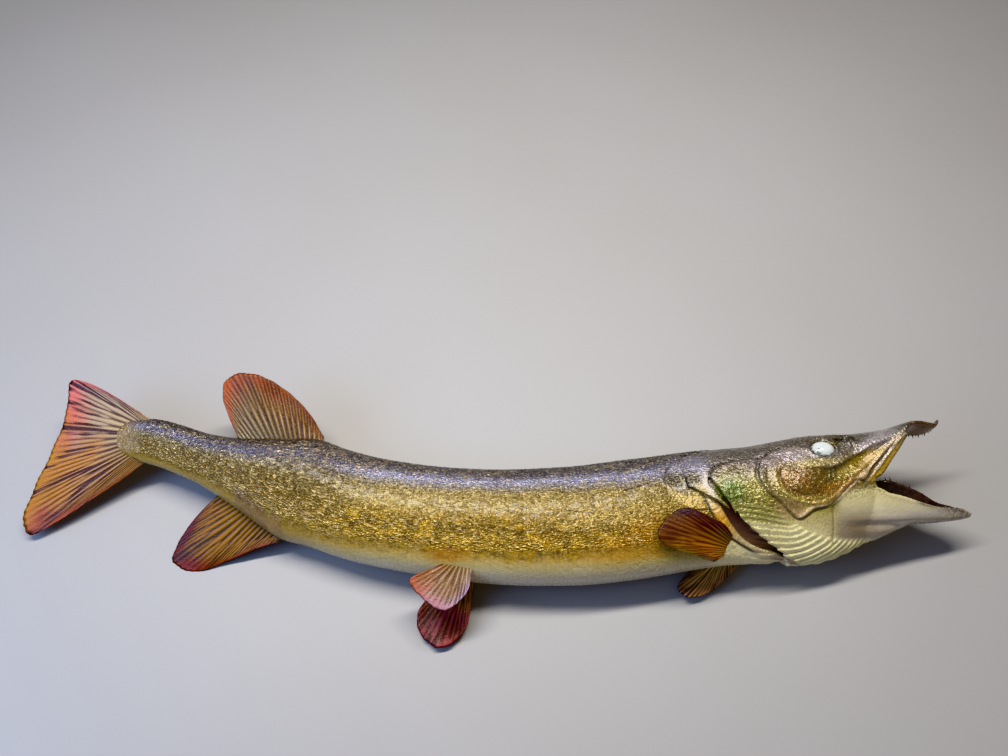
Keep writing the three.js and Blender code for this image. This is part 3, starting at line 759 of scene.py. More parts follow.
def inner_faces(points, normals):
    """1 in the mouth and behind the gill covers, 0 on the outside."""
    s, h, w = points.T
    facing_in = ease(-side_facing(points, normals), -0.05, 0.35)
    mouth = facing_in * window(s, 296, 304, 412, 423)
    up, down, half = (along(HEAD, s, k) for k in (1, 2, 3))
    share = np.clip(np.abs(h) / np.where(h > 0, up, down), 0, 1)
    full = np.where(h > 0, *HEAD_FULLNESS)
    surface = half * (1 - share**full) ** (1 / full)
    ahead = side_depth(s, h, GIRDLE_EDGE)[0] > 0.3
    slit = ahead * window(s, 178, 184, 258, 266) * fade(h, -1, 3)
    slit = slit * np.maximum(ease(surface - np.abs(w), 3.4, 5.4), facing_in)
    return np.clip(np.maximum(mouth, slit), 0, 1)


def gill_slit(name, sign):
    """The room between the shoulder girdle and the gill cover on one side."""
    rear = smooth_line(GIRDLE_EDGE, 3)
    front = [(266, -60), (262, -44), (246, -26), (226, -8), (208, 2), (194, 3.5)]
    return prism(name, [*rear, *front], *sorted((sign * 8.0, sign * CUTTER_REACH)))


def jaw_flap(name, sign):
    """The membrane that hangs from the upper jaw's side down to its free edge."""
    def at(u, v):
        s = 318 + 49 * u
        top, edge, half = (along(SNOUT, s, k) for k in (1, 2, 3))
        up, out = np.cos(2 * np.pi * v), np.sin(2 * np.pi * v)
        raised = 0.5 + 0.5 * np.sign(up) * np.abs(up) ** 0.7
        thick = 1.25 * np.sign(out) * np.abs(out) ** 0.5
        h = edge + (top - edge) * 0.5 * raised
        w = half - 1.4 - 1.2 * (1 - raised) ** 2 + thick
        return np.stack([s, h, w * sign], axis=-1)

    return tube(name, 60, 40, at)


def skin_body(detail):
    """The whole skin, straight: lofted parts joined, remeshed, smoothed and worked."""
    trunk = body_tube("trunk", TRUNK, TRUNK_FULLNESS, 150, 72, grow=-SCALE_DEPTH)
    head = body_tube("head", HEAD, HEAD_FULLNESS, 70, 80)
    thin = body_tube("thin", HEAD, HEAD_FULLNESS, 40, 64, grow=-COVER_THICKNESS)
    bill = oval_tube("bill", SNOUT, 2.3, 90, 64)
    hollow = oval_tube("hollow", MOUTH, 2.4, 40, 48)
    chamber = body_tube("chamber", CHAMBER, (2, 2), 40, 56)
    jaw = jaw_tube("jaw", 80)

    rim = smooth_line(COVER_EDGE, 3)
    behind = prism("behind", [(140, 34), *rim, (262, -90), (140, -90)])
    head = combine(head, behind, "DIFFERENCE")
    for sign in (1, -1):
        # The slit goes under the cover's rear edge, down to the gill chamber.
        slit = combine(gill_slit("slit", sign), chamber, "DIFFERENCE")
        under = combine(copy_of(slit, "under"), thin, "INTERSECT")
        trunk = combine(trunk, slit, "DIFFERENCE")
        head = combine(head, under, "DIFFERENCE")
        drop(slit, under)
    head = combine(head, hollow, "DIFFERENCE")
    bill = combine(bill, hollow, "DIFFERENCE")
    drop(behind, thin, hollow)

    flaps = [jaw_flap("flap", sign) for sign in (1, -1)]
    skin = join("skin", [trunk, head, bill, jaw, chamber, *flaps])
    apply_modifier(skin, "REMESH", mode="VOXEL", voxel_size=detail)
    apply_modifier(skin, "SMOOTH", factor=0.5, iterations=4)
    points, normals = read_points(skin.data), read_normals(skin.data)
    push = relief(points, normals)[0] + lip_thickening(points)
    write_points(skin.data, points + normals * push[:, None])
    return skin


def thin_out(skin, most):
    """Fewer faces: first from the trunk, which the scales cover, then from the whole skin."""
    covered = np.nonzero(read_points(skin.data)[:, 0] < SCALES_COVER)[0].tolist()
    skin.vertex_groups.new(name="trunk").add(covered, 1.0, "REPLACE")
    apply_modifier(skin, "DECIMATE", use_collapse_triangulate=True, vertex_group="trunk",
                   vertex_group_factor=10, ratio=TRUNK_KEEPS)
    triangles = sum(len(p.vertices) - 2 for p in skin.data.polygons)
    apply_modifier(skin, "DECIMATE", use_collapse_triangulate=True,
                   ratio=min(1.0, most / triangles))
    skin.vertex_groups.clear()


def make_skin(detail, most):
    skin = skin_body(detail)
    thin_out(skin, most)
    mesh = skin.data
    points, normals = read_points(mesh), read_normals(mesh)
    write_attribute(mesh, "fish", points)
    # The third channel of shape is the shade painted into the creases and recesses.
    dark = relief(points, normals)[1]
    shape = np.stack([levels(points[:, 0], points[:, 1]), inner_faces(points, normals), dark], 1)
    write_attribute(mesh, "shape", shape)
    shade, cover = painting(points, normals)
    write_attribute(mesh, "paint", shade)
    write_attribute(mesh, "painted", cover)
    return posed(skin, SKIN_LOWEST)


# ---------- scales ----------
# The edge of the bare skin, as (h, s), and the nape's edge above it.
BARE_EDGE = [
    (-60, 246), (-52, 226), (-44, 210), (-36, 197), (-28, 186), (-20, 178), (-8, 168),
    (9, 149), (20, 147), (31, 151), (39, 170), (50, 208),
]


def bare(s, h):
    """True where the skin has no scales: the head and the shoulder girdle."""
    nape = np.where(h > 36, 208 - (h - 36) * 0.3, np.inf)
    return s > np.minimum(nape, np.interp(h, *np.transpose(BARE_EDGE)))


def scale_plate(length, width, thick):
    """One scale: a domed rounded plate, its root at 0 and its free edge towards +x."""
    bm = bmesh.new()
    bmesh.ops.create_circle(bm, cap_ends=True, cap_tris=True, segments=9, radius=1)
    for vert in bm.verts:
        x, y = vert.co.x, vert.co.y
        middle = x * x + y * y < 0.25
        vert.co = (length * (0.5 + 0.5 * x), 0.5 * width * y, thick * (0.78 if middle else 0.6))
    slide(bm, bmesh.ops.extrude_edge_only(bm, edges=open_edges(bm))["geom"], -thick)
    bmesh.ops.holes_fill(bm, edges=open_edges(bm), sides=0)
    bmesh.ops.triangulate(bm, faces=bm.faces)
    bmesh.ops.recalc_face_normals(bm, faces=bm.faces)
    return new_object("plate", bm)


def scale_roots(pitch, rng):
    """Where the scales grow, and each one's own directions, on the straight body."""
    first, last = SCALE_ROWS
    row_gap = pitch * SCALE_STRETCH
    turns = np.linspace(0, 2 * np.pi, 361)

    def on_body(s, turn):
        return body_point(TRUNK, TRUNK_FULLNESS, s, turn, -SCALE_DEPTH)

    rows = []
    for i in range(int((last - first) / row_gap)):
        s = last - i * row_gap
        ring = on_body(np.full(turns.shape, float(s)), turns)
        arc = np.concatenate([[0], np.cumsum(np.linalg.norm(np.diff(ring, axis=0), axis=1))])
        count = int(round(arc[-1] / (pitch / SCALE_STRETCH * 1.06)))
        spot = (np.arange(count) + 0.5 * (i % 2)) / count + 0.25
        spot = (spot + rng.normal(0, 0.09 / count, count)) % 1.0
        turn = np.interp(spot * arc[-1], arc, turns)
        at = s + rng.normal(0, 0.12 * pitch, count)
        here = on_body(at, turn)
        tailward, side = unit(on_body(at - 1, turn) - here), unit(on_body(at, turn + 0.02) - here)
        rows.append((here, tailward, side, turn))
    return [np.concatenate(part) for part in zip(*rows)]


def make_scales(pitch, lift, pieces):
    rng = np.random.default_rng(SEED)
    length = pitch * SCALE_STRETCH * 1.75
    pattern = scale_plate(length, pitch / SCALE_STRETCH * 1.4, SCALE_THICKNESS)
    plate = read_points(pattern.data)
    grown = scale_roots(pitch, rng)
    keep = ~bare(*grown[0].T[:2]) & (bend(grown[0])[:, 2] > SCALES_LOWEST * MM)
    root, tailward, side, turn = (part[keep] for part in grown)
    out = unit(np.cross(tailward, side))
    out *= np.sign((out * root * (0, 1, 1)).sum(1))[:, None]
    count = len(root)
    size = 1 + rng.normal(0, 0.07, count)
    size *= np.interp(root[:, 0], [-350, -300, -200], [0.8, 0.86, 1.0])
    # On the smooth belly the scales lie flat and even.
    lively = 0.25 + 0.75 * ease(levels(root[:, 0], root[:, 1]), -0.92, -0.72)
    yaw = (rng.normal(0, 0.08, count) * lively)[:, None]
    roll = rng.normal(0, 0.035, count) * lively
    tilt = (lift * (0.4 + 0.6 * lively)) / length + rng.normal(0, 0.016, count) * lively
    chance = rng.random(count)
    turned_tail = tailward * np.cos(yaw) + side * np.sin(yaw)
    turned_side = side * np.cos(yaw) - tailward * np.sin(yaw)
    x = plate[None, :, 0] * size[:, None]
    y = plate[None, :, 1] * size[:, None]
    z = plate[None, :, 2] + x * tilt[:, None] + y * roll[:, None]
    body = (root[:, None] + x[..., None] * turned_tail[:, None]
            + y[..., None] * turned_side[:, None] + z[..., None] * out[:, None])
    made = []
    for k, chosen in enumerate(np.array_split(np.arange(count), pieces)):
        obj = copy_of(pattern, f"scales_{k + 1}")
        apply_modifier(obj, "ARRAY", count=len(chosen))
        mesh = obj.data
        straight = body[chosen].reshape(-1, 3)
        write_points(mesh, bend(straight, SCALE_LOWEST))
        write_attribute(mesh, "fish", straight)
        shape = np.stack([
            levels(straight[:, 0], straight[:, 1]), np.tile(plate[:, 0] / length, len(chosen)),
            np.repeat(chance[chosen], len(plate))], 1)
        write_attribute(mesh, "shape", shape)
        at = np.stack([(root[chosen, 0] + 360) / 600, turn[chosen] / (2 * np.pi)], 1) * 0.98 + 0.01
        local = plate[:, :2] / plate[:, 0].max() * 2 * BAKE_PATCH - np.array([BAKE_PATCH, 0])
        corners = np.empty(len(mesh.loops), np.int32)
        mesh.loops.foreach_get("vertex_index", corners)
        uv = (at[:, None] + local[None]).reshape(-1, 2)[corners]
        layer = mesh.uv_layers.new(name="OFBake")
        layer.data.foreach_set("uv", uv.astype(np.float32).ravel())
        shade_smooth(obj)
        mesh.set_sharp_from_angle(angle=math.radians(45))
        made.append(obj)
    drop(pattern)
    return made


# ---------- fins ----------
# Root line and free edge as (s, h, w), front to back. bow bends the middle of the rim, and
# lift, where it is given, arches the fin off the body. The colours run from the root to the
# rim, first along the front edge and then along the rear one.
# Each fin's highlight is the colour of the highlights painted along its rays' crests.
FINS = {
    "dorsal_fin": dict(
        root=[(-186, 44, 0), (-225, 36, 0), (-262, 24, 0)],
        edge=[(-189, 53, 0), (-208, 71, 0), (-236, 86, 0), (-264, 92, 0), (-284, 88, 0),
              (-295, 75, 0), (-291, 61, 0), (-279, 43, 0), (-268, 31, 0)],
        bow=5, rays=19, streaks=0.5,
        front=[(90, 60, 14), (118, 74, 10), (116, 58, 18)],
        rear=[(106, 96, 60), (118, 96, 60), (164, 80, 44)],
        streak=(50, 34, 26), highlight=(206, 170, 116)),
    "anal_fin": dict(
        root=[(-193, -44, 0), (-228, -36, 0), (-262, -24, 0)],
        edge=[(-196, -53, 0), (-213, -64, 0), (-236, -83, 0), (-262, -103, 0),
              (-284, -100, 0), (-285, -84, 0), (-278, -58, 0), (-272, -44, 0), (-266, -33, 0)],
        bow=-4, rays=17, streaks=0.8,
        front=[(124, 88, 6), (142, 100, 20), (128, 56, 20)],
        rear=[(146, 108, 6), (136, 92, 10), (100, 10, 2)],
        streak=(44, 26, 12), highlight=(176, 118, 42)),
    "caudal_fin": dict(
        root=[(-343, 19, 0), (-347, 0, 0), (-343, -19, 0)],
        edge=[(-362, 27, 0), (-388, 40, -2), (-418, 51, -6), (-434, 50, -9), (-431, 24, -5),
              (-431, 0, 0), (-437, -25, 0), (-446, -56, 0), (-452, -84, 0), (-446, -101, 0),
              (-424, -89, 0), (-398, -69, 0), (-368, -44, 0), (-352, -30, 0)],
        bow=4, rays=26, streaks=1.0,
        front=[(148, 134, 100), (162, 140, 116), (194, 100, 96)],
        rear=[(132, 108, 50), (144, 98, 40), (154, 74, 38)],
        heart=(173, 114, 30), streak=(66, 32, 30), highlight=(206, 178, 122)),
    "pelvic_fin_right": dict(
        root=[(-22, -40, 19), (-34, -40, 21), (-46, -42, 21)],
        edge=[(-24, -50, 21), (-25, -66, 20), (-42, -83, 17), (-62, -73, 17), (-73, -60, 20),
              (-60, -50, 21)],
        bow=3, rays=10, streaks=0.75,
        front=[(134, 112, 66), (136, 104, 78), (160, 132, 160)],
        rear=[(132, 100, 44), (138, 86, 44), (160, 80, 52)],
        streak=(82, 54, 34), highlight=(190, 168, 132)),
    "pelvic_fin_left": dict(
        root=[(-22, -42, -17), (-34, -42, -19), (-46, -43, -19)],
        edge=[(-24, -60, -20), (-28, -92, -24), (-46, -109, -24), (-64, -98, -24),
              (-68, -80, -22), (-58, -60, -20)],
        bow=3, rays=10, streaks=0.8,
        front=[(120, 86, 8), (118, 66, 6), (136, 60, 44)],
        rear=[(112, 76, 6), (118, 60, 6), (150, 54, 54)],
        heart=(146, 62, 66), streak=(52, 24, 8), highlight=(170, 122, 60)),
    "pectoral_fin_right": dict(
        root=[(200, -30, 30.5), (194, -38, 27.5), (187, -46, 22)],
        edge=[(189, -17, 39), (158, -5, 45.5), (135, -14, 45), (126, -28, 42), (131, -35, 40),
              (157, -44, 34), (178, -51, 25)],
        bow=2, lift=6, rays=12, streaks=0.65,
        front=[(112, 78, 32), (60, 24, 34), (40, 10, 36)],
        rear=[(176, 116, 12), (172, 100, 12), (160, 118, 26)],
        heart=(98, 58, 32), streak=(60, 14, 18), highlight=(152, 116, 44)),
    # This fin lies in the body's shadow, and its colours are painted far lighter than its own to
    # stand in for the light it lacks.
    "pectoral_fin_left": dict(
        root=[(206, -38, -24), (200, -44, -19), (193, -50, -13)],
        edge=[(205, -60, -14), (188, -70, -17), (168, -77, -18), (153, -75, -19),
              (148, -66, -22), (158, -56, -28), (180, -46, -31)],
        bow=2, rays=12, streaks=0.9,
        front=[(238, 214, 160), (200, 164, 116), (160, 118, 88)],
        rear=[(238, 218, 160), (186, 150, 106), (140, 100, 76)],
        streak=(34, 16, 14), highlight=(236, 220, 176)),
}


def through(rows, u):
    """Points an even share u of the way along a smooth curve through the rows."""
    rows = np.array(rows, float)
    padded = np.concatenate([[2 * rows[0] - rows[1]], rows, [2 * rows[-1] - rows[-2]]])
    fine = []
    t = np.linspace(0, 1, 41)[:, None]
    for i in range(len(rows) - 1):
        p = padded[i:i + 4]
        d0, d1, d2 = np.linalg.norm(np.diff(p, axis=0), axis=1) ** 0.5
        m1 = ((p[1] - p[0]) / d0 - (p[2] - p[0]) / (d0 + d1) + (p[2] - p[1]) / d1) * d1
        m2 = ((p[2] - p[1]) / d1 - (p[3] - p[1]) / (d1 + d2) + (p[3] - p[2]) / d2) * d1
        fine.append(hermite(t, p[1], m1, p[2], m2))
    fine = np.concatenate(fine)
    arc = np.concatenate([[0], np.cumsum(np.linalg.norm(np.diff(fine, axis=0), axis=1))])
    at = np.clip(u, 0, 1) * arc[-1]
    return np.stack([np.interp(at, arc, fine[:, k]) for k in range(3)], axis=1)


def ray_height(u, v, rays):
    """How proud a fin's ray stands: 1 on a ray, 0 between. Each ray forks half way out."""
    whole = (0.5 + 0.5 * np.cos(2 * np.pi * rays * u)) ** 1.4
    forked = (0.5 + 0.5 * np.cos(4 * np.pi * rays * u)) ** 1.4
    fork = ease(v, 0.42, 0.62)
    return whole * (1 - fork) + forked * fork


def fin_middle(fin, u, v):
    """The fin's middle surface."""
    foot, rim = through(fin["root"], u), through(fin["edge"], u)
    point = foot + (rim - foot) * v[:, None]
    ripple = 0.7 * v * np.sin(2 * np.pi * (1.7 * u + 0.2)) + 0.4 * v * np.sin(19 * u + 5 * v)
    point[:, 2] += (fin["bow"] * v**2 * np.sin(np.pi * u) + fin.get("lift", 0) * np.sin(np.pi * v)
                    + ripple)
    return point


def make_fin(name, fin):
    """A closed sheet with raised rays, its two sides joined along the rim."""
    rays = fin["rays"]
    columns, rows = rays * 8, 30
    share = {}

    def at(u, y):
        v = 1 - np.abs(2 * y - 1)
        side = np.where(y < 0.5, 1.0, -1.0) * (v > 0)
        rim = 0.5 - 0.5 * np.cos(4 * np.pi * rays * u)
        reach = v * (1 - 0.007 * rim * ease(v, 0.7, 1) - 0.012 * np.sin(31 * u) ** 2 * v)
        sooner, later = np.maximum(u - FIN_STEP, 0), np.minimum(u + FIN_STEP, 1)
        nearer, farther = np.maximum(reach - FIN_STEP, 0), np.minimum(reach + FIN_STEP, 1)
        du = fin_middle(fin, later, reach) - fin_middle(fin, sooner, reach)
        dv = fin_middle(fin, u, farther) - fin_middle(fin, u, nearer)
        normal = unit(np.cross(du, dv))
        ridge = ray_height(u, v, rays)
        leading = bell(np.minimum(u, 1 - u), 0.012)
        beads = 1 + 0.2 * np.sin(2 * np.pi * 13 * v) * (1 - v)
        half = 0.14 + 0.75 * (1 - v) ** 2.5 + 0.5 * ridge * beads * (1 - 0.72 * v)
        half += 0.5 * leading * (1 - 0.8 * v)
        half *= 0.25 + 0.75 * np.sqrt(np.clip(np.minimum(u, 1 - u) / 0.012, 0, 1))
        half *= 1 - 0.7 * ease(v, 0.96, 1)
        share["grid"] = np.stack([u, v, ridge], axis=1)
        return fin_middle(fin, u, reach) + normal * (half * side)[:, None]

    bm = bmesh.new()
    bmesh.ops.create_grid(bm, x_segments=columns, y_segments=2 * rows, size=1)
    sheet_points(bm, at)
    layer = bm.verts.layers.float_vector.new("grid")
    for vert, value in zip(bm.verts, share["grid"]):
        vert[layer] = value
    bmesh.ops.remove_doubles(bm, verts=bm.verts, dist=1e-3)
    bmesh.ops.holes_fill(bm, edges=open_edges(bm), sides=0)
    bmesh.ops.triangulate(bm, faces=[f for f in bm.faces if len(f.verts) > 4])
    bmesh.ops.recalc_face_normals(bm, faces=bm.faces)
    obj = new_object(name, bm)
    write_attribute(obj.data, "fish", read_points(obj.data))
    return posed(obj, FIN_LOWEST)


# ---------- eyes and teeth ----------
def make_eye(name, sign):
    """A glass eye: a flattened ball with a raised cornea, set in the slope of the skin."""
    bm = bmesh.new()
    bmesh.ops.create_uvsphere(bm, u_segments=64, v_segments=48, radius=1)
    layer = bm.verts.layers.float_vector.new("iris")
    for vert in bm.verts:
        across = math.hypot(vert.co.x, vert.co.y)
        front = vert.co.z > 0
        vert[layer] = (vert.co.x, vert.co.y, across if front else 2 - across)
        bulge = 1 + 0.08 * max(0.0, 1 - (across / 0.75) ** 2) if front else 1
        vert.co = vert.co * EYE_RADIUS * bulge
    bmesh.ops.scale(bm, verts=bm.verts, vec=EYE_FLATTENING)
    turned = Matrix.Rotation(math.radians(EYE_TURN), 4, "Y")
    leaning = Matrix.Rotation(math.radians(-EYE_SLOPE), 4, "X")
    bmesh.ops.transform(bm, matrix=turned @ leaning, verts=bm.verts)
    if sign < 0:
        bmesh.ops.scale(bm, verts=bm.verts, vec=(1, 1, -1))
    bmesh.ops.translate(bm, verts=bm.verts, vec=(*EYE_LENS[:2], EYE_LENS[2] * sign))
    bmesh.ops.recalc_face_normals(bm, faces=bm.faces)
    return posed(new_object(name, bm))


# Teeth: s, how far across the jaw (the far lip is -1, the near one 1), and height. They are
# sunk a little into the skin, and the lower ones lean back by some degrees.
LOWER_SUNK, UPPER_SUNK = 0.6, 0.5
LOWER_LEAN = 10
LOWER_TEETH = [
    (346, -0.93, 1.6), (352, -0.92, 3.2), (357, -0.92, 2.0), (362, -0.91, 3.9),
    (366, -0.9, 4.4), (371, -0.9, 2.2), (376, -0.89, 3.0), (381, -0.88, 4.6), (386, -0.87, 2.0),
    (391, -0.85, 2.4), (396, -0.84, 1.8), (401, -0.82, 1.6), (406, -0.8, 1.4),
    (411, -0.76, 1.4), (416, -0.7, 1.2), (350, 0.88, 1.2), (358, 0.87, 1.4), (366, 0.86, 1.8),
    (374, 0.85, 1.4), (382, 0.84, 1.8), (390, 0.82, 1.4), (397, 0.8, 1.6), (404, 0.78, 1.3),
    (410, 0.74, 1.3), (416, 0.66, 1.2),
]
UPPER_TEETH = [
    (377, -0.8, 2.6), (380, -0.79, 3.6), (383, -0.78, 2.4), (386, -0.77, 3.4), (389, -0.76, 2.2),
    (391, -0.75, 3.2), (394, -0.73, 2.0), (396, -0.71, 3.0), (399, -0.68, 2.0), (401, -0.62, 2.2),
    (381, 0.76, 1.6), (387, 0.74, 1.8), (393, 0.7, 1.6), (398, 0.64, 1.4),
]


def make_teeth(name):
    bm = bmesh.new()
    for s, across, size in LOWER_TEETH:
        lip = float(along(JAW, s, 2 if across < 0 else 1))
        half = float(along(JAW, s, 5))
        place_tooth(bm, (s, lip - LOWER_SUNK, across * half), size, LOWER_LEAN)
    for s, across, size in UPPER_TEETH:
        top, edge, half, tilt = (float(along(SNOUT, s, k)) for k in (1, 2, 3, 4))
        a = math.radians(tilt)
        w = across * half
        h = -math.sqrt(max(0.0, 1 - across * across)) * (top - edge) / 2
        foot = (s, (top + edge) / 2 + h * math.cos(a) + w * math.sin(a) + UPPER_SUNK,
                w * math.cos(a) - h * math.sin(a))
        place_tooth(bm, foot, size, 180 + (7 * s) % 17 - 8)
    return posed(new_object(name, bm))


def place_tooth(bm, foot, size, lean):
    """A slender cone that stands in +h on its foot, leaning back by some degrees."""
    made = bmesh.ops.create_cone(bm, cap_ends=True, segments=8, radius1=0.3 + 0.14 * size,
                                 radius2=0.12, depth=size)["verts"]
    upright = Matrix.Rotation(math.radians(-90), 4, "X")
    bmesh.ops.transform(bm, matrix=upright, verts=made)
    bmesh.ops.translate(bm, verts=made, vec=(0, size / 2, 0))
    leaning = Matrix.Rotation(math.radians(lean), 4, "Z")
    bmesh.ops.transform(bm, matrix=leaning, verts=made)
    bmesh.ops.translate(bm, verts=made, vec=foot)


# ---------- colours and node groups ----------
def colour(r, g, b):
    """A linear colour from 0 to 255 screen values."""
    def linear(x):
        x /= 255
        return x / 12.92 if x <= 0.04045 else ((x + 0.055) / 1.055) ** 2.4
    return (linear(r), linear(g), linear(b), 1.0)


class Tree:
    """Short ways to add and join the nodes of one node tree."""

    def __init__(self, tree):
        self.tree = tree
        self.column = 0

    def node(self, kind, **settings):
        made = self.tree.nodes.new(kind)
        self.column += 1
        made.location = (180 * (self.column % 12), -220 * (self.column // 12))
        for key, value in settings.items():
            setattr(made, key, value)
        return made

    def put(self, socket, value):
        if isinstance(value, bpy.types.NodeSocket):
            self.tree.links.new(value, socket)
        else:
            socket.default_value = value

    def filled(self, made, *values):
        """A node whose first sockets take the values."""
        for socket, value in zip(made.inputs, values):
            self.put(socket, value)
        return made

    def math(self, operation, a, b=0.0, c=0.0, clamp=False):
        made = self.node("ShaderNodeMath", operation=operation, use_clamp=clamp)
        return self.filled(made, a, b, c).outputs[0]

    def times(self, first, *others):
        """The product of all its values."""
        return self.math("MULTIPLY", first, self.times(*others)) if others else first

    def less(self, value, start=1.0):
        """What is left of start, which is 1 unless it is given."""
        return self.math("SUBTRACT", start, value)

    def vector(self, operation, a, b=(0, 0, 0)):
        made = self.filled(self.node("ShaderNodeVectorMath", operation=operation), a, b)
        return made.outputs["Value"] if operation == "LENGTH" else made.outputs[0]

    def split(self, value):
        return self.filled(self.node("ShaderNodeSeparateXYZ"), value).outputs[:3]

    def join(self, x, y, z=0.0):
        return self.filled(self.node("ShaderNodeCombineXYZ"), x, y, z).outputs[0]

    def mix(self, share, a, b, blend="MIX"):
        made = self.node("ShaderNodeMix", data_type="RGBA", blend_type=blend)
        for index, value in ((0, share), (6, a), (7, b)):
            self.put(made.inputs[index], value)
        return made.outputs[2]

    def wash(self, base, rgb, *masks):
        """Lays a colour over another, as strongly as the product of the masks."""
        return self.mix(self.times(*masks), base, colour(*rgb))

    def ease(self, value, start, end, low=0.0, high=1.0):
        made = self.node("ShaderNodeMapRange", interpolation_type="SMOOTHSTEP")
        return self.filled(made, value, start, end, low, high).outputs[0]

    def noise(self, where, scale, detail=2.0, rough=0.5):
        made = self.node("ShaderNodeTexNoise")
        for title, value in zip(("Vector", "Scale", "Detail", "Roughness"),
                                (where, scale, detail, rough)):
            self.put(made.inputs[title], value)
        return made.outputs[0]

    def ramp(self, value, stops):
        made = self.filled(self.node("ShaderNodeValToRGB"), value)
        band = made.color_ramp
        while len(band.elements) < len(stops):
            band.elements.new(0.5)
        for element, (at, shade) in zip(band.elements, stops):
            element.position = at
            element.color = colour(*shade)
        return made.outputs[0]

    def attribute(self, name, part="Vector"):
        return self.node("ShaderNodeAttribute", attribute_name=name).outputs[part]

    def group(self, name, **values):
        made = self.node("ShaderNodeGroup", node_tree=bpy.data.node_groups[name])
        for key, value in values.items():
            self.put(made.inputs[key.replace("_", " ")], value)
        return made.outputs


def new_group(name, inputs, outputs):
    """A shader node group. Inputs and outputs are (name, kind) or (name, kind, default)."""
    tree = bpy.data.node_groups.new(name, "ShaderNodeTree")
    kinds = {"value": "NodeSocketFloat", "vector": "NodeSocketVector", "colour": "NodeSocketColor"}
    for title, kind, *given in inputs:
        socket = tree.interface.new_socket(title, in_out="INPUT", socket_type=kinds[kind])
        if given:
            socket.default_value = given[0]
    for title, kind in outputs:
        tree.interface.new_socket(title, in_out="OUTPUT", socket_type=kinds[kind])
    made = Tree(tree)
    entry = made.node("NodeGroupInput")
    leave = made.node("NodeGroupOutput")
    return made, entry.outputs, leave.inputs


def build_patch_group():
    """A soft-edged oval on the side of the fish."""
    t, given, out = new_group(
        "side_patch",
        [("Place", "vector"), ("Centre", "vector"), ("Size", "vector"), ("Turn", "value"),
         ("Softness", "value", 0.5), ("Ragged", "value", 0.3)],
        [("Mask", "value")])
    away = t.vector("SUBTRACT", given["Place"], given["Centre"])
    rotate = t.node("ShaderNodeVectorRotate", rotation_type="Z_AXIS")
    t.put(rotate.inputs["Vector"], t.vector("MULTIPLY", away, (1, 1, 0)))
    t.put(rotate.inputs["Angle"], t.times(given["Turn"], -1.0))
    share = t.vector("LENGTH", t.vector("DIVIDE", rotate.outputs[0], given["Size"]))
    noise = t.less(0.5, t.noise(given["Place"], 0.16, 3.0))
    share = t.math("MULTIPLY_ADD", noise, t.times(given["Ragged"], 2.0), share)
    far = t.math("ADD", 1.0, given["Softness"])
    t.put(out["Mask"], t.ease(share, t.less(given["Softness"]), far, 1.0, 0.0))


